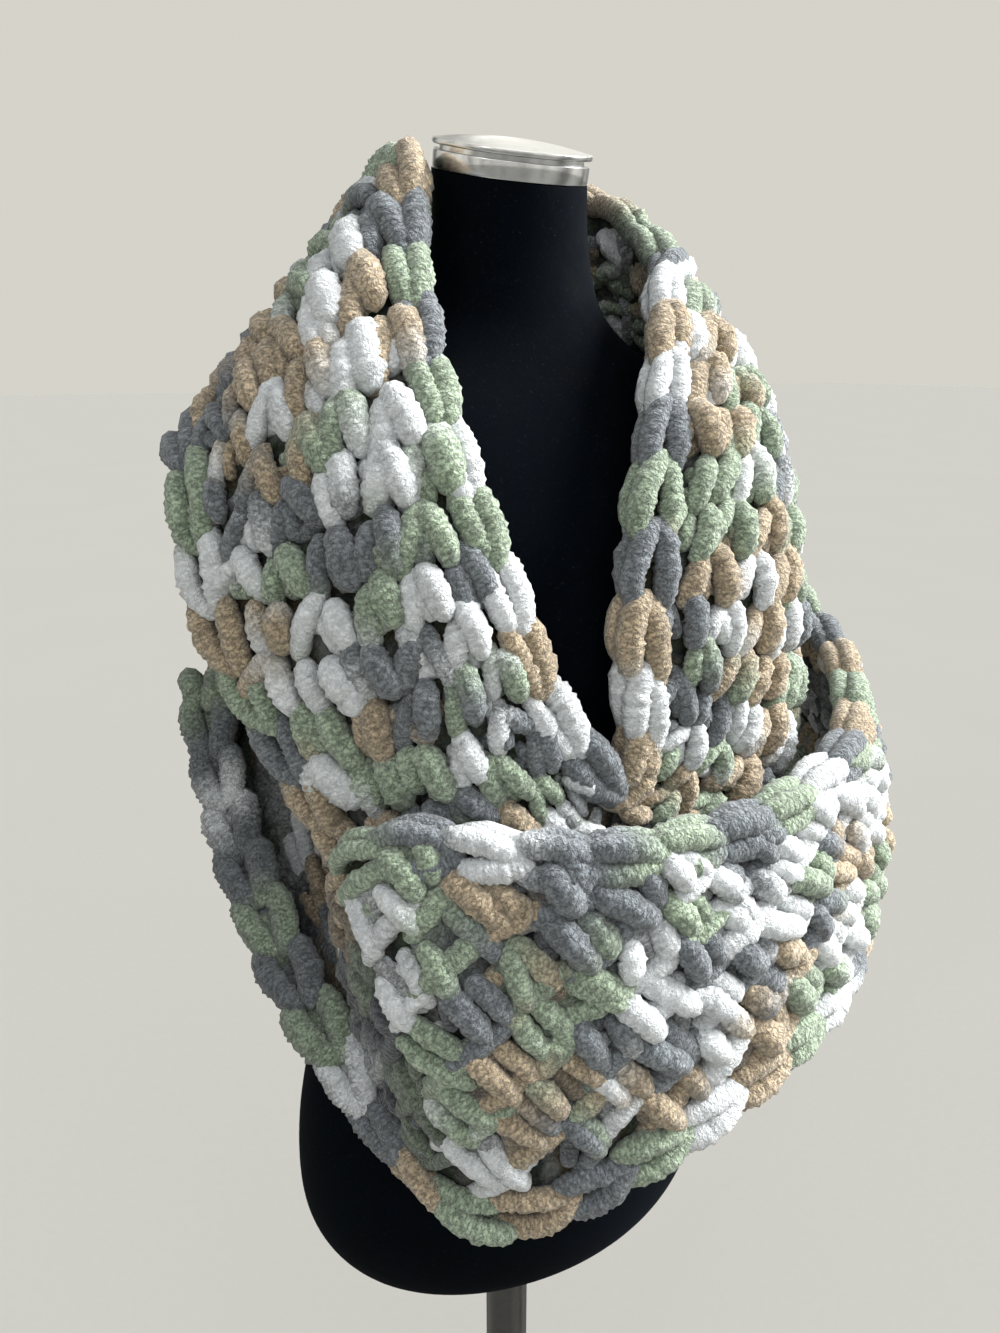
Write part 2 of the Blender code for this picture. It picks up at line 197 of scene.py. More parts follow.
class StrandPlan(NamedTuple):
    """A strand of one stitch: three points (right, up, height in mm), radius and ring count."""

    start: Triple
    middle: Triple
    end: Triple
    radius: float
    rings: int

    def curve(self) -> tuple[np.ndarray, np.ndarray]:
        """Centre line of the strand.

        Returns:
            The share of the way at each ring, and the points there.
        """
        points = np.array([self.start, self.middle, self.end])
        share = np.linspace(0.0, 1.0, self.rings)[:, None]
        pull = 2 * points[1] - 0.5 * (points[0] + points[2])
        line = (1 - share) ** 2 * points[0] + 2 * share * (1 - share) * pull + share ** 2 * points[2]
        return share, line

    def span(self) -> float:
        """Straight distance between the ends in metres."""
        return float(np.linalg.norm(np.subtract(self.end, self.start)) * MM)


PANEL_STITCH = (
    StrandPlan((-16.0, -7.0, 7.5), (-10.0, 9.0, 12.5), (-2.0, 23.0, 9.0), 6.9, 19),
    StrandPlan((4.0, 25.0, 8.5), (7.0, 12.0, 14.5), (7.0, -4.0, 11.5), 8.2, 18),
    StrandPlan((-4.0, 20.0, 6.0), (-3.0, 10.0, 9.0), (-2.0, -2.0, 7.5), 6.6, 12),
    StrandPlan((-19.0, 9.0, 5.0), (0.0, 5.0, 5.5), (18.0, 10.0, 5.0), 6.0, 9),
)
FRONT_STITCH = (
    StrandPlan((-24.0, -15.0, 7.0), (1.0, -3.0, 12.0), (25.0, 10.0, 8.0), 7.3, 26),
    StrandPlan((-12.0, 22.0, 8.0), (-5.0, 11.0, 16.0), (2.0, -4.0, 13.5), 8.2, 17),
    StrandPlan((2.0, 26.0, 7.0), (9.0, 15.0, 14.0), (14.0, 2.0, 11.0), 7.7, 15),
    StrandPlan((-18.0, 6.0, 4.5), (0.0, 13.0, 5.0), (18.0, 20.0, 4.5), 6.0, 9),
)
LINING_STITCH = (
    StrandPlan((-14.0, -3.0, 9.0), (-8.0, 12.0, 5.5), (-1.0, 25.0, 9.0), 7.0, 11),
    StrandPlan((-2.0, 26.0, 9.0), (5.0, 13.0, 5.5), (10.0, -2.0, 8.5), 7.6, 11),
)
BRAID_LEGS = (
    StrandPlan((2.0, -24.0, 10.5), (0.5, 0.0, 14.5), (9.5, 21.0, 11.5), 7.8, 27),
    StrandPlan((17.0, -24.0, 10.0), (16.5, 0.0, 13.5), (10.5, 21.0, 10.0), 7.6, 27),
    StrandPlan((3.0, -20.0, 3.0), (-3.0, 2.0, 4.0), (3.0, 22.0, 5.0), 7.2, 14),
)
LIP_LEGS = (
    StrandPlan((3.0, -24.0, 6.0), (0.5, 0.0, 6.5), (1.0, 21.0, 13.0), 8.4, 27),
    StrandPlan((3.0, -24.0, 25.0), (0.5, 0.0, 26.5), (1.0, 21.0, 17.5), 8.8, 27),
    StrandPlan((16.0, -20.0, 14.0), (14.0, 0.0, 15.0), (15.0, 20.0, 13.0), 7.8, 14),
)


def sweep_through(rows: np.ndarray, share: np.ndarray) -> np.ndarray:
    """Smooth curve through rows 1 and 2 that passes the way of rows 0 and 3.

    Args:
        rows: Four values or arrays, the first axis runs over them.
        share: How far between rows 1 and 2, from 0 to 1.

    Returns:
        The values at that share.
    """
    before, start, end, after = rows
    linear = (end - before) * share
    square = (2 * before - 5 * start + 4 * end - after) * share ** 2
    cube = (3 * start - before - 3 * end + after) * share ** 3
    return start + 0.5 * (linear + square + cube)


def normalised(vectors: np.ndarray) -> np.ndarray:
    """Vectors along the last axis, each brought to a length of one."""
    return vectors / np.maximum(np.linalg.norm(vectors, axis=-1, keepdims=True), 1e-12)


@dataclass
class TorsoShape:
    """The dress form's skin as a smooth stack of levels."""

    sections: tuple[TorsoSection, ...] = TORSO

    def level(self, place: np.ndarray) -> np.ndarray:
        """Sizes of the torso at places along its table.

        Args:
            place: Places, 0 at the first level and 1 more for each.

        Returns:
            One row of five values for each place, lengths in metres.
        """
        table = np.array(self.sections, dtype=float)
        last = len(table) - 1
        index = np.clip(place.astype(int), 0, last - 1)
        rows = np.stack([table[np.clip(index + step, 0, last)] for step in (-1, 0, 1, 2)])
        mixed = sweep_through(rows, (place - index)[:, None])
        mixed[:, :4] *= MM
        return mixed

    def radius(self, turn: np.ndarray, height: np.ndarray) -> np.ndarray:
        """Distance from the axis to the skin.

        Args:
            turn: Turns from the front in radians.
            height: Heights in metres.

        Returns:
            The distances in metres, 0 below and above the torso.
        """
        heights = np.array([row.height for row in self.sections]) * MM
        place = np.interp(height, heights, np.arange(len(heights)))
        sizes = self.level(place.ravel()).reshape(*place.shape, 5)
        depth = np.where(np.cos(turn) > 0, sizes[..., 2], sizes[..., 3])
        reach = 1.0 / np.hypot(np.sin(turn) / sizes[..., 1], np.cos(turn) / depth)
        return np.where((height > heights[0]) & (height < heights[-1]), reach, 0.0)

    def skin(self, levels: int, sides: int) -> np.ndarray:
        """Points of the skin.

        Args:
            levels: Number of rings.
            sides: Number of points on a ring.

        Returns:
            Array of rings, sides and coordinates.
        """
        rows = self.level(np.linspace(0.0, len(self.sections) - 1, levels))
        turn = np.linspace(0.0, 2 * math.pi, sides, endpoint=False)
        depth = np.where(np.cos(turn) > 0, rows[:, 2:3], rows[:, 3:4])
        across = rows[:, 1:2] * np.sin(turn)
        along = -depth * np.cos(turn)
        height = rows[:, 0:1] + along * np.tan(np.radians(rows[:, 4:5]))
        return np.stack([across, along, height], axis=-1)


class Sample(NamedTuple):
    """What the band's surface has at some places."""

    point: np.ndarray
    run: np.ndarray
    down: np.ndarray
    outward: np.ndarray
    stretch: np.ndarray
    wall_share: np.ndarray


@dataclass
class BandSurface:
    """The band's inner face as a fine grid over its length and its width."""

    torso: TorsoShape
    steps_per_section: int = 24
    steps_across: int = 32
    seat_clearance: float = 1.4 * MM
    grid: np.ndarray = field(init=False)
    run: np.ndarray = field(init=False)
    down: np.ndarray = field(init=False)
    outward: np.ndarray = field(init=False)
    share: np.ndarray = field(init=False)
    stretch: np.ndarray = field(init=False)
    middle_run: np.ndarray = field(init=False)
    length: float = field(init=False)

    def __post_init__(self) -> None:
        """Build the grid with its directions and the length along the middle."""
        count = len(SCARF)
        steps = count * self.steps_per_section
        place = np.arange(steps) / self.steps_per_section
        spots, self.share = self.rows_at(place)
        across = np.linspace(0.0, 1.0, self.steps_across + 1)
        self.grid = self.face_points(spots, across)
        along = np.roll(self.grid, -1, axis=0) - np.roll(self.grid, 1, axis=0)
        self.run = normalised(along)
        self.down = normalised(np.gradient(self.grid, axis=1))
        self.outward = normalised(np.cross(self.down, self.run))
        local = np.linalg.norm(along, axis=2)
        self.stretch = local / np.maximum(local[:, self.steps_across // 2][:, None], 1e-9)
        self.middle_run = self.line_run(0.5)
        self.length = float(self.middle_run[-1])

    def rows_at(self, place: np.ndarray) -> tuple[np.ndarray, np.ndarray]:
        """Three points of the band and its wall share at places along the table.

        Args:
            place: Places, 0 at the first section and 1 more for each.

        Returns:
            Turn, radius and height of the three points, and the wall shares.
        """
        table = np.array([[row.upper, row.middle, row.lower] for row in SCARF], dtype=float)
        shares = np.array([row.wall_share for row in SCARF])
        index = np.floor(place).astype(int)
        rows = []
        for step in (-1, 0, 1, 2):
            laps, row = np.divmod(index + step, len(SCARF))
            spots = table[row].copy()
            spots[..., 0] += LAPS_DEGREES * laps[:, None]
            rows.append(spots)
        share = place - index
        spots = sweep_through(np.stack(rows), share[:, None, None])
        after = shares[(index + 1) % len(SCARF)]
        return spots, shares[index % len(SCARF)] * (1.0 - share) + after * share

    def face_points(self, spots: np.ndarray, across: np.ndarray) -> np.ndarray:
        """Points of the inner face, seated on the torso where they would sink into it.

        Args:
            spots: The three points of each row.
            across: Shares of the width, 0 at the upper edge.

        Returns:
            Array of rows, across and coordinates.
        """
        turns = np.radians(spots[..., 0])
        radii = spots[..., 1] * MM
        corners = np.stack([radii * np.sin(turns), -radii * np.cos(turns), spots[..., 2] * MM], axis=-1)
        pull = 2 * corners[:, 1] - 0.5 * (corners[:, 0] + corners[:, 2])
        wide = across[None, :, None]
        left = 1.0 - wide
        point = left ** 2 * corners[:, 0:1] + 2 * wide * left * pull[:, None] + wide ** 2 * corners[:, 2:3]
        turn = np.arctan2(point[..., 0], -point[..., 1])
        radius = np.hypot(point[..., 0], point[..., 1])
        seat = np.maximum(radius, self.torso.radius(turn, point[..., 2]) + self.seat_clearance)
        return np.stack([seat * np.sin(turn), -seat * np.cos(turn), point[..., 2]], axis=-1)

    def line_run(self, across: float) -> np.ndarray:
        """Length along the band at one share of its width.

        Args:
            across: Share of the width.

        Returns:
            The length at each grid row, with the whole length added last.
        """
        line = self.grid[:, round(across * self.steps_across)]
        closed = np.concatenate([line, line[:1]])
        return np.concatenate([[0.0], np.cumsum(np.linalg.norm(np.diff(closed, axis=0), axis=1))])

    def place_of(self, run: np.ndarray, line: np.ndarray) -> np.ndarray:
        """Places along the table for lengths along a line of the band.

        Args:
            run: Lengths in metres.
            line: Length at each grid row, from line_run.

        Returns:
            The places.
        """
        laps, rest = np.divmod(run, line[-1])
        grid_place = np.interp(rest, line, np.arange(len(line)))
        return grid_place / self.steps_per_section + laps * len(SCARF)

    def sample(self, place: np.ndarray, across: np.ndarray) -> Sample:
        """Point and directions of the inner face.

        Args:
            place: Places along the table, which may lie past its ends.
            across: Shares of the width, which may lie a little past the edges.

        Returns:
            The sample, its arrays shaped as place.
        """
        steps = len(self.grid)
        row = np.mod(place * self.steps_per_section, steps)
        low_row = np.floor(row).astype(int) % steps
        high_row = (low_row + 1) % steps
        row_share = (row - np.floor(row))[..., None]
        held = np.clip(across, 0.0, 1.0) * self.steps_across
        low_side = np.clip(np.floor(held).astype(int), 0, self.steps_across - 1)
        side_share = (held - low_side)[..., None]

        def mixed(values: np.ndarray) -> np.ndarray:
            """Blend the four grid points round each place.

            Args:
                values: One value or vector for each grid point.

            Returns:
                The blend by nearness, shaped as place.
            """
            low = values[low_row, low_side] * (1 - side_share) + values[low_row, low_side + 1] * side_share
            high = values[high_row, low_side] * (1 - side_share) + values[high_row, low_side + 1] * side_share
            return low * (1 - row_share) + high * row_share

        down = normalised(mixed(self.down))
        width = np.linalg.norm(np.diff(self.grid, axis=1), axis=2).sum(axis=1)
        past = (across - np.clip(across, 0.0, 1.0)) * width[low_row]
        share = self.share[low_row] * (1 - row_share[..., 0]) + self.share[high_row] * row_share[..., 0]
        return Sample(
            mixed(self.grid) + down * past[..., None],
            normalised(mixed(self.run)),
            down,
            normalised(mixed(self.outward)),
            mixed(self.stretch[..., None])[..., 0],
            share,
        )


class Dye(Enum):
    """The yarn's four colours, as the linear reflectance of the clean pile."""

    WHITE = (0.80, 0.83, 0.84)
    SAGE = (0.345, 0.430, 0.305)
    TAN = (0.490, 0.388, 0.258)
    SLATE = (0.185, 0.207, 0.223)


@dataclass
class DyedYarn:
    """A yarn dyed in runs of colour, read by its length."""

    seed: int
    total: float
    shortest: float
    longest: float
    step: float = 4.0 * MM
    fade: int = 6
    shades: np.ndarray = field(init=False)

    def __post_init__(self) -> None:
        """Lay out the runs of colour along the yarn."""
        luck = np.random.default_rng(self.seed)
        colours = [np.array(dye.value) for dye in Dye]
        chances = np.array([0.33, 0.24, 0.22, 0.21])
        rows: list[np.ndarray] = []
        last = -1
        while len(rows) * self.step < self.total:
            open_chances = np.where(np.arange(len(colours)) == last, 0.0, chances)
            last = int(luck.choice(len(colours), p=open_chances / open_chances.sum()))
            long = luck.uniform(self.shortest, self.longest)
            rows.extend([colours[last]] * max(1, round(long / self.step)))
        shades = np.array(rows)
        kernel = np.ones(self.fade) / self.fade
        self.shades = np.stack([np.convolve(shades[:, part], kernel, "same") for part in range(3)], axis=1)

    def colour(self, run: np.ndarray) -> np.ndarray:
        """Colours at lengths along the yarn.

        Args:
            run: Lengths in metres.

        Returns:
            Linear colours, one row for each length.
        """
        index = np.clip(run / self.step, 0, len(self.shades) - 1)
        low = np.floor(index).astype(int)
        high = np.minimum(low + 1, len(self.shades) - 1)
        share = (index - low)[..., None]
        return self.shades[low] * (1 - share) + self.shades[high] * share


@dataclass
class MeshBuilder:
    """Collects points, faces, colours and strand coordinates for one mesh."""

    points: list[np.ndarray] = field(default_factory=list)
    colours: list[np.ndarray] = field(default_factory=list)
    quads: list[np.ndarray] = field(default_factory=list)
    tris: list[np.ndarray] = field(default_factory=list)
    quad_uvs: list[np.ndarray] = field(default_factory=list)
    tri_uvs: list[np.ndarray] = field(default_factory=list)
    count: int = 0

    def add(self, points: np.ndarray, colours: np.ndarray) -> int:
        """Add points with their colours.

        Args:
            points: Rows of coordinates.
            colours: Rows of linear colours.

        Returns:
            The index of the first new point.
        """
        first = self.count
        self.points.append(points)
        self.colours.append(colours)
        self.count += len(points)
        return first

    def object(self, name: str) -> bpy.types.Object:
        """Make the collected mesh an object of the scene.

        Args:
            name: The piece's name.

        Returns:
            The new object, shaded smooth.
        """
        points = np.concatenate(self.points)
        quads = np.concatenate(self.quads) if self.quads else np.zeros((0, 4), int)
        tris = np.concatenate(self.tris) if self.tris else np.zeros((0, 3), int)
        mesh = bpy.data.meshes.new(name)
        mesh.vertices.add(len(points))
        mesh.vertices.foreach_set("co", points.astype(np.float32).ravel())
        loops = np.concatenate([quads.ravel(), tris.ravel()])
        starts = np.concatenate([np.arange(len(quads)) * 4, quads.size + np.arange(len(tris)) * 3])
        mesh.loops.add(len(loops))
        mesh.loops.foreach_set("vertex_index", loops.astype(np.int32))
        mesh.polygons.add(len(starts))
        mesh.polygons.foreach_set("loop_start", starts.astype(np.int32))
        mesh.update(calc_edges=True)
        mesh.validate()
        # On the strands this colour is the yarn's dye with their painted shade multiplied in.
        dye = mesh.color_attributes.new("dye", "FLOAT_COLOR", "POINT")
        shades = np.concatenate([np.concatenate(self.colours), np.ones((len(points), 1))], axis=1)
        dye.data.foreach_set("color", shades.astype(np.float32).ravel())
        if self.quad_uvs or self.tri_uvs:
            uvs = [part.reshape(-1, 2) for part in (*self.quad_uvs, *self.tri_uvs)]
            layer = mesh.uv_layers.new(name="strand")
            layer.data.foreach_set("uv", np.concatenate(uvs).astype(np.float32).ravel())
        mesh.shade_smooth()
        piece = bpy.data.objects.new(name, mesh)
        bpy.context.scene.collection.objects.link(piece)
        return piece


@dataclass
class StrandSet:
    """Lays many strands of yarn with the same number of rings at once.

    Rib, lump, ruffle, mottle and under are shares of the radius or of the dye; under is the painted shade
    that darkens the undersides and sides of the strands. The strand's coordinates, with tip_run and
    longest_offset, are in millimetres.
    """

    luck: np.random.Generator
    sides: int = 9
    rib: float = 0.032
    lump: float = 0.058
    ruffle: float = 0.050
    mottle: float = 0.085
    underside_painted_shade: float = 0.55
    side_light: float = 0.7
    rise_light: float = 0.8
    bluntness: float = 4.5
    belly: float = 0.12
    tip_reach: float = 0.35
    tip_run: float = 2.0
    longest_offset: float = 900.0

    def lay(
        self,
        builder: MeshBuilder,
        centre: np.ndarray,
        outward: np.ndarray,
        radius: np.ndarray,
        colours: np.ndarray,
    ) -> None:
        """Add tubes with ribs of pile round the given centre lines.

        Args:
            builder: The mesh that the strands join.
            centre: Array of strands, rings and coordinates.
            outward: Direction away from the band at each ring.
            radius: Radius of each strand.
            colours: Colour at each ring.
        """
        strands, rings = centre.shape[:2]
        ahead = normalised(np.gradient(centre, axis=1))
        side = normalised(np.cross(ahead, outward))
        rise = np.cross(side, ahead)
        along = np.linspace(-1.0, 1.0, rings + 2)[1:-1]
        plump = (1.0 - np.abs(along) ** self.bluntness) ** 0.5
        plump *= 1.0 - self.belly + self.belly * np.cos(along * math.pi / 2)
        ribs = 1.0 + self.rib * np.where(np.arange(rings) % 2, 1.0, -1.0)
        lumps = self.luck.normal(0.0, 1.0, (strands, rings, self.sides))
        lumps = lumps + np.roll(lumps, 1, axis=2) + 0.5 * np.roll(lumps, 1, axis=1)
        # The sum of the three spreads 1.5 times as far as one of them.
        rough = 1.0 + lumps * self.lump / 1.5
        rough += self.luck.uniform(-self.ruffle, self.ruffle, (strands, rings, self.sides))
        reach = radius[:, None, None] * (plump * ribs)[None, :, None] * rough
        turn = np.linspace(0.0, 2 * math.pi, self.sides, endpoint=False)
        ring = (
            side[:, :, None] * np.cos(turn)[None, None, :, None]
            + rise[:, :, None] * np.sin(turn)[None, None, :, None]
        )
        points = centre[:, :, None] + ring * reach[..., None]
        tips = np.stack([
            centre[:, 0] - ahead[:, 0] * radius[:, None] * self.tip_reach,
            centre[:, -1] + ahead[:, -1] * radius[:, None] * self.tip_reach,
        ], axis=1)
        body = points.reshape(strands, rings * self.sides, 3)
        shades = np.repeat(colours, self.sides, axis=1)
        shades = shades * (1.0 + self.luck.normal(0.0, self.mottle, (strands, rings * self.sides, 1)))
        # Painted shade: each ring's colour darkens towards the side that faces the band, so the strands'
        # undersides and sides are darker.
        light = np.clip(self.side_light + self.rise_light * np.sin(turn), 0.0, 1.0)
        painted_shade_factor = 1.0 - self.underside_painted_shade * (1.0 - light)
        shades = shades * np.tile(painted_shade_factor, rings)[None, :, None]
        ends = np.stack([colours[:, 0], colours[:, -1]], axis=1)
        first = builder.add(
            np.concatenate([body, tips], axis=1).reshape(-1, 3),
            np.concatenate([shades, ends], axis=1).reshape(-1, 3),
        )
        self.faces(builder, first, strands, rings, centre, radius)

    def faces(
        self,
        builder: MeshBuilder,
        first: int,
        strands: int,
        rings: int,
        centre: np.ndarray,
        radius: np.ndarray,
    ) -> None:
        """Add the faces of the tubes, with coordinates in millimetres round and along them.

        Args:
            builder: The mesh that the strands join.
            first: Index of the first point.
            strands: Number of strands.
            rings: Rings of each strand.
            centre: Centre lines, for the length along each strand.
            radius: Radius of each strand.
        """
        size = rings * self.sides + 2
        base = first + np.arange(strands)[:, None, None] * size
        ring = np.arange(rings - 1)[None, :, None] * self.sides
        side = np.arange(self.sides)[None, None, :]
        after = (side + 1) % self.sides
        quads = np.stack([
            base + ring + after, base + ring + side,
            base + ring + self.sides + side, base + ring + self.sides + after,
        ], axis=-1)
        builder.quads.append(quads.reshape(-1, 4))
        steps = np.linalg.norm(np.diff(centre, axis=1), axis=2)
        offset = self.luck.uniform(0.0, self.longest_offset, strands)
        run = np.concatenate([np.zeros((strands, 1)), np.cumsum(steps, axis=1)], axis=1) / MM
        run += offset[:, None]
        girth = 2 * math.pi * radius / MM / self.sides
        left, low = np.broadcast_arrays(side * girth[:, None, None], run[:, :-1, None])
        right, high = np.broadcast_arrays((side + 1) * girth[:, None, None], run[:, 1:, None])
        corners = ((right, low), (left, low), (left, high), (right, high))
        builder.quad_uvs.append(np.stack([np.stack(corner, axis=-1) for corner in corners], axis=3))
        self.close_end(builder, base[:, 0], 0, size - 2, run[:, :1], girth)
        self.close_end(builder, base[:, 0], (rings - 1) * self.sides, size - 1, run[:, -1:], girth)

    def close_end(
        self,
        builder: MeshBuilder,
        base: np.ndarray,
        start: int,
        tip: int,
        run: np.ndarray,
        girth: np.ndarray,
    ) -> None:
        """Close one end of each tube with a fan of triangles.

        Args:
            builder: The mesh that the strands join.
            base: Index of each strand's first point.
            start: Place of the end's ring in its strand, 0 for the first end.
            tip: Place of the end's tip in its strand.
            run: Length along each strand at the ring.
            girth: Length of one side of each strand.
        """
        at_start = start == 0
        side = np.arange(self.sides)[None]
        here = base + start + side
        there = base + start + (side + 1) % self.sides
        peak = np.broadcast_to(base + tip, here.shape)
        edge = np.stack(np.broadcast_arrays(side * girth[:, None], run), axis=-1)
        edge_after = edge + np.stack([girth, 0 * girth], axis=-1)[:, None]
        edge_tip = edge + np.array([0.0, -self.tip_run if at_start else self.tip_run])
        corners = (peak, here, there) if at_start else (peak, there, here)
        places = (edge_tip, edge, edge_after) if at_start else (edge_tip, edge_after, edge)
        builder.tris.append(np.stack(corners, axis=-1).reshape(-1, 3))
        builder.tri_uvs.append(np.stack(places, axis=2))


@dataclass
class StitchWorker:
    """Crochets the stitches and the edge braids of the band, stretch by stretch.

    Pitches, width, jitters of place and ways are in millimetres, yarn lengths in metres, and the
    rest are shares.
    """

    surface: BandSurface
    seed: int = 41
    row_pitch: float = 29.0
    units: int = 5
    border: float = 0.105
    brick_offset: float = 0.25
    width: float = 200.0
    edge_pitch: float = 35.0
    place_jitter: float = 2.8
    jitter_ways: Triple = (1.0, 1.0, 0.35)
    lean_ways: Triple = (8.0, 3.0, 1.8)
    size_jitter: float = 0.08
    shade_jitter: float = 0.05
    pull_range: tuple[float, float] = (0.6, 2.2)
    crowd_range: tuple[float, float] = (0.72, 1.16)
    thinnest_wall: float = 0.55
    wall_weight: float = 0.4
    yarn_per_stitch: float = 78.0 * MM
    trough_painted_shade: float = 0.42
    braid_jitter: Triple = (0.8, 1.2, 0.5)
    braid_size_jitter: float = 0.05
    braid_wall_weight: float = 0.5
    braid_yarn: float = 0.105
    second_leg_yarn: float = 0.012
    lower_edge_yarn: float = 0.4
    leg_yarn: float = 0.05
    web_rows: int = 10
    web_sides: int = 25
    web_rim: float = 0.035
    web_dye_pace: float = 14.0
    luck: np.random.Generator = field(init=False)
    yarn: DyedYarn = field(init=False)
    edge_yarn: DyedYarn = field(init=False)
    strands: StrandSet = field(init=False)

    def __post_init__(self) -> None:
        """Dye the yarns and get ready to lay strands."""
        self.luck = np.random.default_rng(self.seed)
        self.yarn = DyedYarn(self.seed + 1, total=46.0, shortest=0.050, longest=0.150)
        self.edge_yarn = DyedYarn(self.seed + 2, total=16.0, shortest=0.085, longest=0.130)
        self.strands = StrandSet(self.luck)

    def run_of(self, name: str) -> float:
        """Length along the band's middle at a named section."""
        index = [section.name for section in SCARF].index(name)
        return float(self.surface.middle_run[index * self.surface.steps_per_section])

    def stitch(
        self,
        builder: MeshBuilder,
        stretch: Stretch,
        plans: tuple[StrandPlan, ...],
        face: Face,
    ) -> None:
        """Lay every stitch of a stretch on one face.

        Args:
            builder: The mesh that the strands join.
            stretch: The stretch to fill.
            plans: The strands of one stitch.
            face: The face that the stitches stand on.
        """
        first = self.run_of(stretch.first)
        last = self.run_of(stretch.last)
        last = last if last > first else self.surface.length
        pitch = self.surface.length / round(self.surface.length / (self.row_pitch * MM))
        rows = np.arange(math.ceil(first / pitch - 0.5), math.ceil(last / pitch - 0.5))
        row, unit = [part.ravel() for part in np.meshgrid(rows, np.arange(self.units), indexing="ij")]
        run = (row + 0.5) * pitch
        step = (1.0 - 2.0 * self.border) / self.units
        across = self.border + (unit + 0.5 + self.brick_offset * np.where(row % 2, 1, -1)) * step
        knitted = np.where(row % 2, self.units - 1 - unit, unit) + row * self.units
        heart = self.surface.sample(self.surface.place_of(run, self.surface.middle_run), across)
        pulled = np.sqrt(np.clip(heart.stretch, *self.pull_range))
        right, up = stretch.lay.value
        for number, plan in enumerate(plans):
            share, line = plan.curve()
            shift = self.luck.normal(0.0, self.place_jitter, (len(row), 1, 3)) * self.jitter_ways
            lean = self.luck.normal(0.0, 1.0, (len(row), 1, 3)) * (share - 0.5)[None] * self.lean_ways
            local = line[None] + shift + lean
            along = (local[..., 0] * right[0] + local[..., 1] * up[0]) * MM
            aside = (local[..., 0] * right[1] + local[..., 1] * up[1]) / self.width
            reached = run[:, None] + along / pulled[:, None]
            place = self.surface.place_of(reached, self.surface.middle_run)
            sample = self.surface.sample(place, across[:, None] + aside)
            radius = plan.radius * MM * (1.0 + self.luck.normal(0.0, self.size_jitter, len(row)))
            crowd = np.clip(sample.stretch.mean(axis=1), *self.crowd_range)
            thick = np.clip(sample.wall_share.mean(axis=1), self.thinnest_wall, 1.0)
            radius *= crowd * (1.0 - self.wall_weight + self.wall_weight * thick)
            height = local[..., 2] * sample.wall_share
            centre = sample.point + sample.outward * (height * MM)[..., None]
            at = knitted * self.yarn_per_stitch + number * self.yarn_per_stitch / len(plans)
            colours = self.yarn.colour(at[:, None] + share[None, :, 0] * plan.span())
            colours = colours * (1.0 + self.luck.normal(0.0, self.shade_jitter, (len(row), 1, 1)))
            # Painted shade: the outer stitches of the rolled lip, which line the trough, are darkened as if
            # the trough shaded them.
            if stretch.rolled_lip and face is Face.OUTER:
                colours = colours * self.trough_painted_shade
            self.strands.lay(builder, centre, sample.outward * face.value, radius, colours)

    def braid(self, builder: MeshBuilder, stretch: Stretch, across: float) -> None:
        """Lay the braid of nested V pairs along one edge of a stretch.

        Args:
            builder: The mesh that the strands join.
            stretch: The stretch to edge.
            across: 0 for the upper edge and 1 for the lower edge.
        """
        line = self.surface.line_run(across)
        names = [section.name for section in SCARF]
        first = line[names.index(stretch.first) * self.surface.steps_per_section]
        last = line[(names.index(stretch.last) or len(SCARF)) * self.surface.steps_per_section]
        pitch = line[-1] / round(line[-1] / (self.edge_pitch * MM))
        links = np.arange(math.ceil(first / pitch - 0.5), math.ceil(last / pitch - 0.5))
        sign = 1.0 if across < 0.5 else -1.0
        lip = stretch.rolled_lip and across > 0.5
        for number, plan in enumerate(LIP_LEGS if lip else BRAID_LEGS):
            share, bend = plan.curve()
            local = bend[None] + self.luck.normal(0.0, 1.0, (len(links), 1, 3)) * self.braid_jitter
            run = (links[:, None] + 0.5) * pitch + local[..., 1] * pitch / self.edge_pitch
            place = self.surface.place_of(run, line)
            side = (across + sign * local[..., 0] / self.width) + 0 * run
            sample = self.surface.sample(place, side)
            rolled = np.clip(names.index("fold_inner") - place, 0.0, 1.0) if lip else 0.0
            wall = np.maximum(sample.wall_share, rolled)
            radius = plan.radius * MM * (1.0 + self.luck.normal(0.0, self.braid_size_jitter, len(links)))
            thick = np.clip(wall.mean(axis=1), self.thinnest_wall, 1.0)
            radius *= 1.0 - self.braid_wall_weight + self.braid_wall_weight * thick
            centre = sample.point + sample.outward * (local[..., 2] * wall * MM)[..., None]
            at = links * self.braid_yarn + self.lower_edge_yarn * (across > 0.5)
            at += self.second_leg_yarn if number == 1 else 0.0
            colours = self.edge_yarn.colour(at[:, None] + share[None, :, 0] * self.leg_yarn)
            self.strands.lay(builder, centre, sample.outward, radius, colours)

    def web(self, low: float, high: float) -> MeshBuilder:
        """The thin ground of the fabric beneath the stitches, as one endless sheet.

        Args:
            low: Height of its inner side above the band's inner face, in millimetres.
            high: Height of its outer side, in millimetres.

        Returns:
            The builder with the sheet.
        """
        count = len(SCARF)
        rows, sides = count * self.web_rows, self.web_sides
        width = np.linspace(self.web_rim, 1.0 - self.web_rim, sides)
        place, across = np.meshgrid(np.arange(rows) / self.web_rows, width, indexing="ij")
        sample = self.surface.sample(place, across)
        share = (sample.wall_share * MM)[..., None]
        builder = MeshBuilder()
        run = np.interp(place * self.surface.steps_per_section,
                        np.arange(len(self.surface.middle_run)), self.surface.middle_run)
        colours = self.yarn.colour((run * self.web_dye_pace + across).ravel())
        for height in (low, high):
            builder.add((sample.point + sample.outward * height * share).reshape(-1, 3), colours)
        index = np.arange(rows * sides).reshape(rows, sides)
        after = np.roll(index, -1, axis=0)
        far = rows * sides
        lower = np.stack([index[:, :-1], after[:, :-1], after[:, 1:], index[:, 1:]], axis=-1)
        builder.quads = [lower.reshape(-1, 4), (lower[..., ::-1] + far).reshape(-1, 4)]
        for here, there in ((index[:, 0], after[:, 0]), (after[:, -1], index[:, -1])):
            builder.quads.append(np.stack([there, here, here + far, there + far], axis=-1))
        return builder


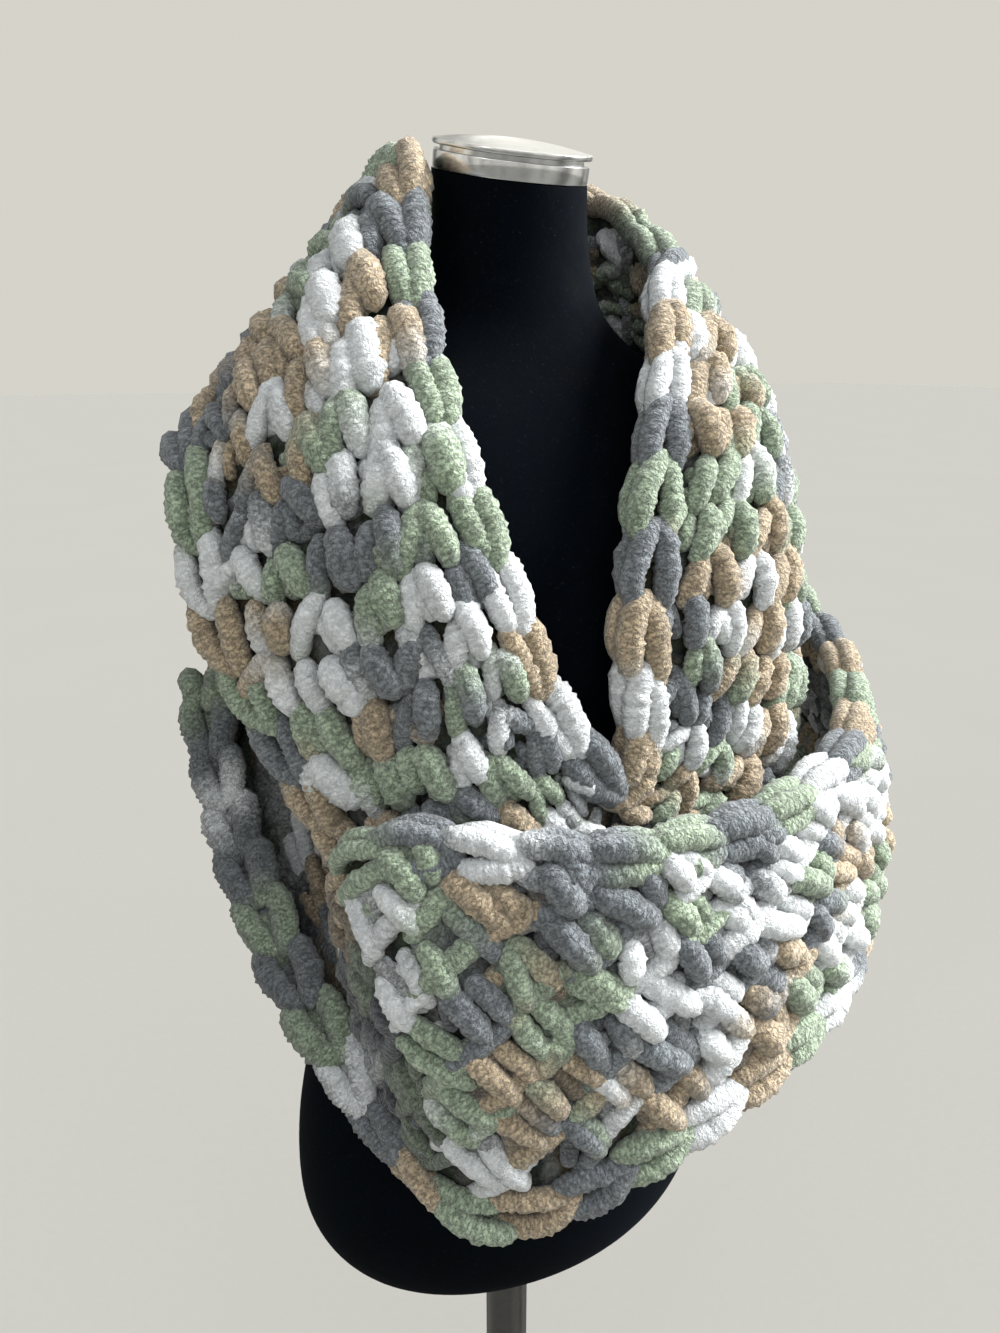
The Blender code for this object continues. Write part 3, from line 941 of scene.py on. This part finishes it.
def feed(tree: bpy.types.NodeTree, socket: bpy.types.NodeSocket, value: Feed) -> None:
    """Link a socket to an input, or set the input's own value.

    Args:
        tree: The tree to work in.
        socket: The input.
        value: Socket, number or vector. A colour may come without its alpha.
    """
    if isinstance(value, bpy.types.NodeSocket):
        tree.links.new(value, socket)
    elif socket.type == "RGBA" and len(value) == 3:
        socket.default_value = (*value, 1.0)
    else:
        socket.default_value = value


def add_node(tree: bpy.types.NodeTree, kind: str, **inputs: Feed) -> bpy.types.Node:
    """Add a node and feed its inputs by name.

    Args:
        tree: The tree that gets the node.
        kind: Blender's name of the node type.
        inputs: Input names, spaces as underscores, and what they get.

    Returns:
        The node.
    """
    node = tree.nodes.new(kind)
    for name, value in inputs.items():
        feed(tree, node.inputs[name.replace("_", " ")], value)
    return node


def reckon(tree: bpy.types.NodeTree, operation: str, *values: Feed,
           kind: str = "ShaderNodeMath") -> bpy.types.NodeSocket:
    """Reckon with sockets and numbers.

    Args:
        tree: The tree to work in.
        operation: Blender's name of the operation.
        values: What goes in, in order.
        kind: Node type, for numbers or for vectors.

    Returns:
        The result's socket.
    """
    node = tree.nodes.new(kind)
    node.operation = operation
    for place, value in enumerate(values):
        feed(tree, node.inputs[place], value)
    return node.outputs[0]


def mix_colours(tree: bpy.types.NodeTree, share: Feed, first: Feed, second: Feed,
                blend: str = "MIX") -> bpy.types.NodeSocket:
    """Mix two colours.

    Args:
        tree: The tree to work in.
        share: Socket or number for the share of the second colour.
        first: Socket or colour.
        second: Socket or colour.
        blend: The way of mixing.

    Returns:
        The mixed colour's socket.
    """
    node = tree.nodes.new("ShaderNodeMix")
    node.data_type = "RGBA"
    node.blend_type = blend
    for place, value in ((0, share), (6, first), (7, second)):
        feed(tree, node.inputs[place], value)
    return node.outputs[2]


def spread(tree: bpy.types.NodeTree, value: bpy.types.NodeSocket, low: float, high: float,
           to_low: float = 0.0, to_high: float = 1.0) -> bpy.types.NodeSocket:
    """Map a value smoothly from one range to another.

    Args:
        tree: The tree to work in.
        value: The socket to map.
        low: Start of the range.
        high: End of the range.
        to_low: What the start becomes.
        to_high: What the end becomes.

    Returns:
        The mapped value's socket.
    """
    node = add_node(tree, "ShaderNodeMapRange", Value=value, From_Min=low, From_Max=high,
                    To_Min=to_low, To_Max=to_high)
    node.interpolation_type = "SMOOTHSTEP"
    return node.outputs["Result"]


@dataclass(frozen=True)
class EffectGroup:
    """A shared effect, kept as one node group that every material places with its own values."""

    name: str
    inputs: tuple[tuple[str, str], ...]
    outputs: tuple[str, ...]

    def group(self) -> bpy.types.NodeTree:
        """The node group, built at its first use.

        Returns:
            The node tree.
        """
        if self.name in bpy.data.node_groups:
            return bpy.data.node_groups[self.name]
        tree = bpy.data.node_groups.new(self.name, "ShaderNodeTree")
        for name, kind in self.inputs:
            tree.interface.new_socket(name, in_out="INPUT", socket_type=kind)
        for name in self.outputs:
            tree.interface.new_socket(name, in_out="OUTPUT", socket_type="NodeSocketFloat")
        self.fill(tree, tree.nodes.new("NodeGroupInput"), tree.nodes.new("NodeGroupOutput"))
        return tree

    def fill(self, tree: bpy.types.NodeTree, inside: bpy.types.Node, outside: bpy.types.Node) -> None:
        """Add the effect's nodes.

        Args:
            tree: The group's tree.
            inside: Node with the group's inputs.
            outside: Node with the group's outputs.
        """
        raise NotImplementedError

    def place(self, tree: bpy.types.NodeTree, **inputs: Feed) -> bpy.types.Node:
        """Put the group in a material or in the world.

        Args:
            tree: The tree that gets it.
            inputs: Input names and what they get.

        Returns:
            The group node.
        """
        node = tree.nodes.new("ShaderNodeGroup")
        node.node_tree = self.group()
        for name, value in inputs.items():
            feed(tree, node.inputs[name], value)
        return node


@dataclass(frozen=True)
class SpeckleGroup(EffectGroup):
    """Two sizes of noise on given coordinates, as a mask and a height."""

    name: str = "speckle"
    inputs: tuple[tuple[str, str], ...] = (
        ("Vector", "NodeSocketVector"), ("Coarse", "NodeSocketFloat"), ("Fine", "NodeSocketFloat"))
    outputs: tuple[str, ...] = ("Mask", "Height")
    coarse_share: float = 0.45
    detail: float = 2.0
    roughness: float = 0.6
    mask_range: tuple[float, float] = (0.38, 0.62)

    def fill(self, tree: bpy.types.NodeTree, inside: bpy.types.Node, outside: bpy.types.Node) -> None:
        """Add two noises and blend them.

        Args:
            tree: The group's tree.
            inside: Node with the group's inputs.
            outside: Node with the group's outputs.
        """
        coarse, fine = [
            add_node(tree, "ShaderNodeTexNoise", Vector=inside.outputs["Vector"], Scale=inside.outputs[name],
                     Detail=self.detail, Roughness=self.roughness).outputs["Fac"]
            for name in ("Coarse", "Fine")
        ]
        part = reckon(tree, "MULTIPLY", coarse, self.coarse_share)
        height = reckon(tree, "MULTIPLY_ADD", fine, 1.0 - self.coarse_share, part)
        feed(tree, outside.inputs["Mask"], spread(tree, height, *self.mask_range))
        feed(tree, outside.inputs["Height"], height)


@dataclass(frozen=True)
class StreakGroup(EffectGroup):
    """Soft dark and bright streaks round the upright axis, as a mask."""

    name: str = "streaks"
    inputs: tuple[tuple[str, str], ...] = (("Vector", "NodeSocketVector"),)
    outputs: tuple[str, ...] = ("Mask",)
    pace: float = 2.6
    mask_range: tuple[float, float] = (0.40, 0.56)

    def fill(self, tree: bpy.types.NodeTree, inside: bpy.types.Node, outside: bpy.types.Node) -> None:
        """Add a noise that changes with the turn alone.

        Args:
            tree: The group's tree.
            inside: Node with the group's inputs.
            outside: Node with the group's outputs.
        """
        parts = add_node(tree, "ShaderNodeSeparateXYZ", Vector=inside.outputs["Vector"])
        turn = reckon(tree, "ARCTAN2", parts.outputs["X"], parts.outputs["Y"])
        noise = tree.nodes.new("ShaderNodeTexNoise")
        noise.noise_dimensions = "1D"
        for name, value in (("W", turn), ("Scale", self.pace), ("Detail", 1.0)):
            feed(tree, noise.inputs[name], value)
        feed(tree, outside.inputs["Mask"], spread(tree, noise.outputs["Fac"], *self.mask_range))


class Paint:
    """A material in the making, with its node tree and its Principled shader."""

    def __init__(self, name: str) -> None:
        """Start the material.

        Args:
            name: The material's name.
        """
        self.material = bpy.data.materials.new(name)
        self.material.use_nodes = True
        self.tree = self.material.node_tree
        self.shader = self.tree.nodes["Principled BSDF"]

    def spot(self) -> bpy.types.NodeSocket:
        """Coordinates on the piece in metres."""
        return self.tree.nodes.new("ShaderNodeTexCoord").outputs["Object"]

    def dye(self) -> bpy.types.NodeSocket:
        """Read the colour that the mesh carries: the dye, with painted shade multiplied in on the strands.

        Returns:
            The colour's socket.
        """
        node = self.tree.nodes.new("ShaderNodeVertexColor")
        node.layer_name = "dye"
        return node.outputs["Color"]

    def set(self, **inputs: Feed) -> None:
        """Feed inputs of the shader.

        Args:
            inputs: Input names, spaces as underscores, and what they get.
        """
        for name, value in inputs.items():
            feed(self.tree, self.shader.inputs[name.replace("_", " ")], value)

    def raise_by(self, height: bpy.types.NodeSocket, distance: float, strength: float) -> None:
        """Raise the surface by a height.

        Args:
            height: The height's socket.
            distance: Size of the relief in metres.
            strength: Share of it that shows.
        """
        relief = add_node(self.tree, "ShaderNodeBump", Height=height, Distance=distance, Strength=strength)
        self.set(Normal=relief.outputs["Normal"])


def dimmed(colour: Colour, share: float) -> Colour:
    """A colour at a share of its brightness."""
    return tuple(part * share for part in colour)


@dataclass(frozen=True)
class ChenilleFinish:
    """Soft cut pile of the thick yarn, in the colour that each strand carries, with painted shade where the
    pile is low and painted highlights on its tips, less of both on white yarn.
    """

    name: str = "chenille_pile"
    tuft_scale: Triple = (0.33, 0.50, 1.0)
    wander_scale: float = 0.9
    curl: Triple = (2.25, 0.75, 0.75)
    softness: float = 0.35
    crest_range: tuple[float, float] = (0.1, 0.7)
    fluff_scales: tuple[float, float] = (600.0, 1400.0)
    fluff_share: float = 0.38
    # Painted shade where the pile is low and painted highlight where it is high.
    valley_painted_shade: float = 0.40
    painted_shade_range: tuple[float, float] = (0.0, 0.50)
    tip: float = 1.50
    painted_highlight_range: tuple[float, float] = (0.42, 0.90)
    white_range: tuple[float, float] = (0.45, 0.85)
    white_evenness: float = 0.66
    relief: float = 1.8 * MM

    def build(self) -> bpy.types.Material:
        """Make the material.

        Returns:
            The material.
        """
        paint = Paint(self.name)
        tree = paint.tree
        pile = self.pile(paint)
        # Painted shade and highlight: the colour darkens where the pile is low and brightens where it is
        # high; white yarn gets less of both.
        low = spread(tree, pile, *self.painted_shade_range, self.valley_painted_shade, 1.0)
        shade = reckon(tree, "MULTIPLY", low, spread(tree, pile, *self.painted_highlight_range, 1.0, self.tip))
        tone = add_node(tree, "ShaderNodeCombineColor", Red=shade, Green=shade, Blue=shade)
        dye = paint.dye()
        value = add_node(tree, "ShaderNodeRGBToBW", Color=dye)
        white = spread(tree, value.outputs[0], *self.white_range, 0.0, self.white_evenness)
        even = mix_colours(tree, white, tone.outputs["Color"], (1.0, 1.0, 1.0))
        paint.set(Base_Color=mix_colours(tree, 1.0, dye, even, "MULTIPLY"), Roughness=0.95,
                  Specular_IOR_Level=0.12, Sheen_Weight=0.42, Sheen_Roughness=0.5)
        paint.raise_by(pile, self.relief, 0.85)
        return paint.material

    def pile(self, paint: Paint) -> bpy.types.NodeSocket:
        """Height of the pile: curled tufts round the strand, and fluff on them.

        Args:
            paint: The material in the making.

        Returns:
            The height's socket, 0 in the valleys and 1 on the tips.
        """
        tree = paint.tree
        strand = tree.nodes.new("ShaderNodeUVMap")
        strand.uv_map = "strand"
        vectors = "ShaderNodeVectorMath"
        place = reckon(tree, "MULTIPLY", strand.outputs["UV"], self.tuft_scale, kind=vectors)
        wander = add_node(tree, "ShaderNodeTexNoise", Vector=place, Scale=self.wander_scale, Detail=1.0)
        curled = reckon(tree, "MULTIPLY_ADD", wander.outputs["Color"], self.curl, place, kind=vectors)
        tufts = tree.nodes.new("ShaderNodeTexVoronoi")
        tufts.feature = "SMOOTH_F1"
        for name, value in (("Vector", curled), ("Scale", 1.0), ("Smoothness", self.softness)):
            feed(tree, tufts.inputs[name], value)
        crest = spread(tree, tufts.outputs["Distance"], *self.crest_range, 1.0, 0.0)
        coarse, fine = self.fluff_scales
        fluff = SpeckleGroup().place(tree, Vector=paint.spot(), Coarse=coarse, Fine=fine)
        part = reckon(tree, "MULTIPLY", fluff.outputs["Mask"], self.fluff_share)
        return reckon(tree, "MULTIPLY_ADD", crest, 1.0 - self.fluff_share, part)


@dataclass(frozen=True)
class WebFinish:
    """Ground of the crochet, seen in the gaps between the strands, with painted shade: its dye darkened
    throughout, and more where its relief is low.
    """

    name: str = "chenille_ground"
    shade: Colour = (0.20, 0.20, 0.19)
    valley_painted_shade: Colour = (0.45, 0.45, 0.45)
    relief: float = 3.0 * MM

    def build(self) -> bpy.types.Material:
        """Make the material.

        Returns:
            The material.
        """
        paint = Paint(self.name)
        tree = paint.tree
        pile = SpeckleGroup().place(tree, Vector=paint.spot(), Coarse=140.0, Fine=520.0)
        # Painted shade: the dye is darkened for the gaps between the strands, and darker again where the
        # relief is low.
        painted_shade_dye = mix_colours(tree, 1.0, paint.dye(), self.shade, "MULTIPLY")
        deep = mix_colours(tree, 1.0, painted_shade_dye, self.valley_painted_shade, "MULTIPLY")
        paint.set(Base_Color=mix_colours(tree, pile.outputs["Mask"], deep, painted_shade_dye), Roughness=1.0,
                  Specular_IOR_Level=0.05)
        paint.raise_by(pile.outputs["Height"], self.relief, 1.0)
        return paint.material


@dataclass(frozen=True)
class VelvetFinish:
    """Near-black velvet with a faint nap and a little lint."""

    name: str = "black_velvet"
    deep: Colour = (0.0005, 0.0013, 0.0026)
    brushed: Colour = (0.0013, 0.0026, 0.0048)
    lint: Colour = (0.012, 0.016, 0.022)
    lint_range: tuple[float, float] = (0.60, 0.68)
    sheen_tint: Colour = (0.55, 0.7, 1.0)
    relief: float = 0.4 * MM

    def build(self) -> bpy.types.Material:
        """Make the material.

        Returns:
            The material.
        """
        paint = Paint(self.name)
        tree = paint.tree
        spot = paint.spot()
        nap = SpeckleGroup().place(tree, Vector=spot, Coarse=11.0, Fine=60.0)
        fibres = SpeckleGroup().place(tree, Vector=spot, Coarse=420.0, Fine=1500.0)
        cloth = mix_colours(tree, nap.outputs["Mask"], self.deep, self.brushed)
        specks = spread(tree, fibres.outputs["Height"], *self.lint_range)
        paint.set(Base_Color=mix_colours(tree, specks, cloth, self.lint),
                  Roughness=spread(tree, nap.outputs["Height"], 0.3, 0.7, 0.82, 1.0),
                  Specular_IOR_Level=0.04, Sheen_Weight=0.006, Sheen_Roughness=0.4,
                  Sheen_Tint=self.sheen_tint)
        paint.raise_by(fibres.outputs["Height"], self.relief, 0.5)
        return paint.material


@dataclass(frozen=True)
class MetalFinish:
    """Turned metal whose gleam is drawn out along the axis, with small handling marks."""

    name: str
    colour: Colour
    roughness: float
    marks: float
    draw: float
    worn_share: float = 0.86
    relief: float = 0.01 * MM

    def build(self) -> bpy.types.Material:
        """Make the material.

        Returns:
            The material.
        """
        paint = Paint(self.name)
        tree = paint.tree
        worn = SpeckleGroup().place(tree, Vector=paint.spot(), Coarse=24.0, Fine=230.0)
        colour = mix_colours(tree, worn.outputs["Mask"], dimmed(self.colour, self.worn_share), self.colour)
        rough = spread(tree, worn.outputs["Height"], 0.3, 0.7, self.roughness, self.roughness + self.marks)
        grain = tree.nodes.new("ShaderNodeTangent")
        grain.direction_type = "RADIAL"
        grain.axis = "Z"
        paint.set(Base_Color=colour, Roughness=rough, Metallic=1.0, Anisotropic=self.draw,
                  Tangent=grain.outputs[0])
        paint.raise_by(worn.outputs["Height"], self.relief, 0.05)
        return paint.material


@dataclass(frozen=True)
class FloorFinish:
    """Pale matt floor. To glossy rays alone it shows dark streaks, a painted reflection that polished metal
    mirrors as it would a furnished room.
    """

    name: str = "pale_floor"
    colour: Colour = (0.258, 0.253, 0.232)
    soft_share: float = 0.985
    painted_reflection_share: float = 0.12

    def build(self) -> bpy.types.Material:
        """Make the material.

        Returns:
            The material.
        """
        paint = Paint(self.name)
        tree = paint.tree
        spot = paint.spot()
        tone = SpeckleGroup().place(tree, Vector=spot, Coarse=1.2, Fine=90.0)
        streaks = StreakGroup().place(tree, Vector=spot)
        pale = mix_colours(tree, tone.outputs["Mask"], dimmed(self.colour, self.soft_share), self.colour)
        # Painted reflection: glossy rays see dark streaks on the floor, which it does not have.
        dark = dimmed(self.colour, self.painted_reflection_share)
        mirrored = mix_colours(tree, streaks.outputs["Mask"], dark, pale)
        seen = tree.nodes.new("ShaderNodeLightPath").outputs["Is Glossy Ray"]
        paint.set(Base_Color=mix_colours(tree, seen, pale, mirrored), Roughness=1.0, Specular_IOR_Level=0.0)
        return paint.material


def dress(piece: bpy.types.Object, material: bpy.types.Material, slot: str, *nodes: str) -> bpy.types.Object:
    """Give a piece its finish and its place in the frame.

    Args:
        piece: The piece.
        material: Its finish.
        slot: The slot that the finish belongs to; not used.
        nodes: CAD nodes that the piece stands for.

    Returns:
        The piece.
    """
    piece.data.materials.clear()
    piece.data.materials.append(material)
    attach(piece, BODY)
    if nodes:
        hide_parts(*nodes)
    LOG.info("%s: %d faces", piece.name, len(piece.data.polygons))
    return piece


@dataclass
class CrochetScarf:
    """The endless band: a thin ground, and the crochet on it for each stretch that shows."""

    surface: BandSurface
    yarn_finish: bpy.types.Material
    web_finish: bpy.types.Material
    cut_width: float = 0.20
    web_low: float = 4.0
    web_high: float = 6.5

    def build(self) -> None:
        """Build the crochet of every stretch, and the ground of the whole band."""
        worker = StitchWorker(self.surface)
        for stretch in STRETCHES:
            crochet = MeshBuilder()
            plans = FRONT_STITCH if stretch.lay is StitchLay.ACROSS_THE_BAND else PANEL_STITCH
            worker.stitch(crochet, stretch, plans, Face.OUTER)
            if stretch.inner_stitches:
                worker.stitch(crochet, stretch, LINING_STITCH, Face.INNER)
            for edge in (0.0, 1.0):
                worker.braid(crochet, stretch, edge)
            knots = crochet.object(f"{stretch.name}_crochet")
            dress(knots, self.yarn_finish, "chenille_yarn", stretch.name)
        web = worker.web(self.web_low, self.web_high).object("scarf_web")
        dress(web, self.web_finish, "chenille_yarn", *(stretch.name for stretch in STRETCHES))


def skin_rings(name: str, rings: np.ndarray, top: Sequence[float], bottom: Sequence[float],
               sharp_degrees: float) -> bpy.types.Object:
    """Skin a stack of rings and close both ends.

    Args:
        name: The piece's name.
        rings: Array of rings from the top down, sides and coordinates.
        top: Point that closes the top.
        bottom: Point that closes the bottom.
        sharp_degrees: Angle from which an edge stays sharp.

    Returns:
        The piece.
    """
    levels, sides = rings.shape[:2]
    builder = MeshBuilder()
    points = np.concatenate([rings.reshape(-1, 3), np.array([top, bottom])])
    builder.add(points, np.ones((len(points), 3)))
    side = np.arange(sides)
    after = (side + 1) % sides
    for high in range(0, (levels - 1) * sides, sides):
        low = high + sides
        builder.quads.append(np.stack([high + side, low + side, low + after, high + after], axis=1))
    last = (levels - 1) * sides
    top_point, bottom_point = np.full(sides, levels * sides), np.full(sides, levels * sides + 1)
    builder.tris.append(np.stack([side, after, top_point], axis=1))
    builder.tris.append(np.stack([last + after, last + side, bottom_point], axis=1))
    piece = builder.object(name)
    piece.data.set_sharp_from_angle(angle=math.radians(sharp_degrees))
    return piece


def revolve(name: str, profile: list[tuple[float, float]], sides: int) -> bpy.types.Object:
    """Turn a profile round the upright axis.

    Args:
        name: The piece's name.
        profile: Radius and height of each ring, top to bottom; both ends lie on the axis.
        sides: Number of sides.

    Returns:
        The turned piece, smooth with sharp edges where the profile turns.
    """
    turn = np.linspace(0.0, 2 * math.pi, sides, endpoint=False)
    rings = [
        np.stack([radius * np.cos(turn), radius * np.sin(turn), 0 * turn + height], axis=1)
        for radius, height in profile if radius > 0.0
    ]
    return skin_rings(name, np.array(rings), (0.0, 0.0, profile[0][1]), (0.0, 0.0, profile[-1][1]), 32.0)


@dataclass
class DressForm:
    """The velvet torso with its polished neck cap."""

    shape: TorsoShape
    neck_height: float = 1.141
    neck_tilt: float = math.radians(14.0)
    gap: float = 0.3 * MM
    band_radius: float = 46.5 * MM
    band_height: float = 10.0 * MM
    groove_radius: float = 43.0 * MM
    groove_height: float = 2.4 * MM
    lid_radius: float = 47.5 * MM
    lid_lip: float = 3.0 * MM
    lid_rise: float = 4.2 * MM
    rounding: float = 0.8 * MM
    dome_steps: int = 14
    sides: int = 144
    torso_levels: int = 140
    torso_sides: int = 128

    def build(self, velvet: bpy.types.Material, metal: bpy.types.Material) -> None:
        """Build the torso and the cap.

        Args:
            velvet: Finish of the torso.
            metal: Finish of the cap.
        """
        self.build_torso(velvet)
        band = self.tilted(revolve("neck_band_turned", self.band_profile(), self.sides))
        lid = self.tilted(revolve("neck_cap_turned", self.lid_profile(), self.sides))
        dress(band, metal, "cap_metal", "neck_band")
        dress(lid, metal, "cap_metal", "neck_cap")

    def build_torso(self, velvet: bpy.types.Material) -> None:
        """Skin the torso finely and close both ends.

        Args:
            velvet: Its finish.
        """
        skin = self.shape.skin(self.torso_levels, self.torso_sides)[::-1]
        torso = skin_rings("form_torso_velvet", skin, skin[0].mean(axis=0), skin[-1].mean(axis=0), 50.0)
        dress(torso, velvet, "velvet", "form_torso")

    def band_profile(self) -> list[tuple[float, float]]:
        """Profile of the band with the groove above it.

        Returns:
            Radius and height of each ring, top to bottom.
        """
        top = self.band_height
        soft = self.rounding
        return [
            (0.0, top + self.groove_height), (self.groove_radius, top + self.groove_height),
            (self.groove_radius, top), (self.band_radius - soft, top),
            (self.band_radius - soft * 0.3, top - soft * 0.3), (self.band_radius, top - soft),
            (self.band_radius, soft), (self.band_radius - soft * 0.3, soft * 0.3),
            (self.band_radius - soft, 0.0), (0.0, 0.0),
        ]

    def lid_profile(self) -> list[tuple[float, float]]:
        """Profile of the domed lid.

        Returns:
            Radius and height of each ring, top to bottom.
        """
        low = self.band_height + self.groove_height + self.gap
        lip = low + self.lid_lip
        soft = self.rounding
        dome = [
            ((self.lid_radius - 2 * soft) * share, lip + self.lid_rise * (1 - share ** 2))
            for share in np.linspace(0.0, 1.0, self.dome_steps + 1)
        ]
        return dome + [
            (self.lid_radius - soft * 0.4, lip - soft * 0.2), (self.lid_radius, lip - soft),
            (self.lid_radius, low + soft), (self.lid_radius - soft * 0.3, low + soft * 0.3),
            (self.lid_radius - soft, low), (0.0, low),
        ]

    def tilted(self, piece: bpy.types.Object) -> bpy.types.Object:
        """Seat a turned piece on the tilted top of the neck.

        Args:
            piece: The piece, turned about the upright axis.

        Returns:
            The piece.
        """
        tilt = Matrix.Rotation(self.neck_tilt, 4, "X")
        up = tilt.to_3x3() @ Vector((0.0, 0.0, 1.0))
        piece.data.transform(Matrix.Translation(Vector((0.0, 0.0, self.neck_height)) + up * self.gap) @ tilt)
        return piece


@dataclass
class FloorStand:
    """Round base plate and pole."""

    base_radius: float = 0.140
    base_thickness: float = 0.012
    base_round: float = 3.0 * MM
    pole_radius: float = 0.017
    pole_top: float = 0.380
    edge_steps: int = 6
    gap: float = 0.3 * MM
    sides: int = 144

    def build(self, metal: bpy.types.Material) -> None:
        """Build the base and the pole.

        Args:
            metal: Their finish.
        """
        edge = [
            (self.base_radius - self.base_round * (1 - math.sin(turn)),
             self.base_thickness - self.base_round * (1 - math.cos(turn)))
            for turn in np.linspace(0.0, math.pi / 2, self.edge_steps + 1)
        ]
        plate = [(0.0, self.base_thickness), *edge, (self.base_radius, 0.0), (0.0, 0.0)]
        low = self.base_thickness + self.gap
        high = self.pole_top - self.gap
        pole = [(0.0, high), (self.pole_radius, high), (self.pole_radius, low), (0.0, low)]
        dress(revolve("base_plate_turned", plate, self.sides), metal, "stand_metal", "base_plate")
        dress(revolve("pole_tube", pole, self.sides), metal, "stand_metal", "pole")


class Lamp(NamedTuple):
    """A soft distant lamp: turn from the front and height in degrees, strength and spread."""

    name: str
    turn: float
    height: float
    strength: float
    spread: float

    def towards(self) -> Vector:
        """Direction from the form to the lamp.

        Returns:
            A vector of length one.
        """
        turn, rise = math.radians(self.turn), math.radians(self.height)
        flat = math.cos(rise)
        return Vector((math.sin(turn) * flat, -math.cos(turn) * flat, math.sin(rise)))


@dataclass
class Studio:
    """Pale floor, soft lights and the camera at the photograph's angle."""

    heading: float = math.radians(27.0)
    pitch: float = math.radians(17.3)
    distance: float = 0.65
    side_step: float = 0.0055
    camera_height: float = 1.04
    focal_share: float = 1000.0 / 1333.0
    sensor: float = 36.0
    floor_reach: float = 30.0
    wall_colour: Colour = (0.665, 0.650, 0.590)
    fill_colour: Colour = (0.95, 0.98, 1.0)
    fill: float = 0.42
    dark_streak: float = 0.12
    bright_streak: float = 1.9
    lamps: tuple[Lamp, ...] = (
        Lamp("window", 78.0, 36.0, 10.0, 36.0),
        Lamp("room", -12.0, 54.0, 0.9, 60.0),
        Lamp("gleam", -62.0, 24.0, 0.15, 4.0),
    )

    def build(self, floor_finish: bpy.types.Material) -> None:
        """Build the floor, the lights and the camera.

        Args:
            floor_finish: Finish of the floor.
        """
        bpy.context.scene.view_settings.view_transform = "Standard"
        self.add_floor(floor_finish)
        self.add_lights()
        self.add_camera()

    def add_floor(self, finish: bpy.types.Material) -> None:
        """Lay the floor beneath the stand.

        Args:
            finish: Its finish.
        """
        builder = MeshBuilder()
        reach = self.floor_reach
        corners = [(-reach, -reach, 0.0), (reach, -reach, 0.0), (reach, reach, 0.0), (-reach, reach, 0.0)]
        builder.add(np.array(corners), np.ones((4, 3)))
        builder.quads.append(np.array([[0, 1, 2, 3]]))
        floor = builder.object("floor")
        floor.data.materials.append(finish)

    def add_lights(self) -> None:
        """Light the form softly from the front right and from all round."""
        world = bpy.context.scene.world or bpy.data.worlds.new("studio")
        bpy.context.scene.world = world
        world.use_nodes = True
        tree = world.node_tree
        around = tree.nodes.new("ShaderNodeTexCoord").outputs["Generated"]
        streaks = StreakGroup().place(tree, Vector=around).outputs["Mask"]
        dark = dimmed(self.wall_colour, self.dark_streak)
        bright = dimmed(self.wall_colour, self.bright_streak)
        seen = tree.nodes.new("ShaderNodeLightPath").outputs
        mirrored = mix_colours(tree, streaks, dark, bright)
        backdrop = tree.nodes["Background"]
        wall = mix_colours(tree, seen["Is Camera Ray"], mirrored, self.wall_colour)
        feed(tree, backdrop.inputs["Color"], wall)
        fill = add_node(tree, "ShaderNodeBackground", Color=self.fill_colour, Strength=self.fill)
        choice = tree.nodes.new("ShaderNodeMixShader")
        for place, value in enumerate((seen["Is Diffuse Ray"], backdrop.outputs[0], fill.outputs[0])):
            feed(tree, choice.inputs[place], value)
        feed(tree, tree.nodes["World Output"].inputs["Surface"], choice.outputs[0])
        for plan in self.lamps:
            lamp = bpy.data.lights.new(plan.name, "SUN")
            lamp.energy = plan.strength
            lamp.angle = math.radians(plan.spread)
            light = bpy.data.objects.new(plan.name, lamp)
            bpy.context.scene.collection.objects.link(light)
            light.rotation_euler = plan.towards().to_track_quat("Z", "Y").to_euler()
            light.location = plan.towards() * 3.0

    def add_camera(self) -> None:
        """Set the camera where the photograph was taken from."""
        ahead = Vector((math.sin(self.heading), math.cos(self.heading), 0.0))
        right = Vector((math.cos(self.heading), -math.sin(self.heading), 0.0))
        up = Vector((0.0, 0.0, 1.0))
        look = ahead * math.cos(self.pitch) - up * math.sin(self.pitch)
        above = ahead * math.sin(self.pitch) + up * math.cos(self.pitch)
        spot = -self.distance * ahead - self.side_step * right + up * self.camera_height
        lens = bpy.data.cameras.new("view")
        lens.sensor_fit = "AUTO"
        lens.sensor_width = self.sensor
        lens.lens = self.sensor * self.focal_share
        lens.clip_start = 0.01
        camera = bpy.data.objects.new("view", lens)
        turn = Matrix((right, above, -look)).transposed()
        camera.matrix_world = Matrix.Translation(spot) @ turn.to_4x4()
        bpy.context.scene.collection.objects.link(camera)
        bpy.context.scene.camera = camera


def main() -> None:
    """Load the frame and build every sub-assembly."""
    logging.basicConfig(level=logging.INFO, format="%(message)s")
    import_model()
    torso = TorsoShape()
    surface = BandSurface(torso)
    LOG.info("band length %.3f m", surface.length)
    Studio().build(FloorFinish().build())
    CrochetScarf(surface, ChenilleFinish().build(), WebFinish().build()).build()
    cap = MetalFinish("polished_cap", (0.64, 0.65, 0.66), roughness=0.17, marks=0.06, draw=0.85)
    DressForm(torso).build(VelvetFinish().build(), cap.build())
    stand = MetalFinish("dark_stand", (0.13, 0.13, 0.13), roughness=0.30, marks=0.14, draw=0.3)
    FloorStand().build(stand.build())


if __name__ == "__main__":
    main()
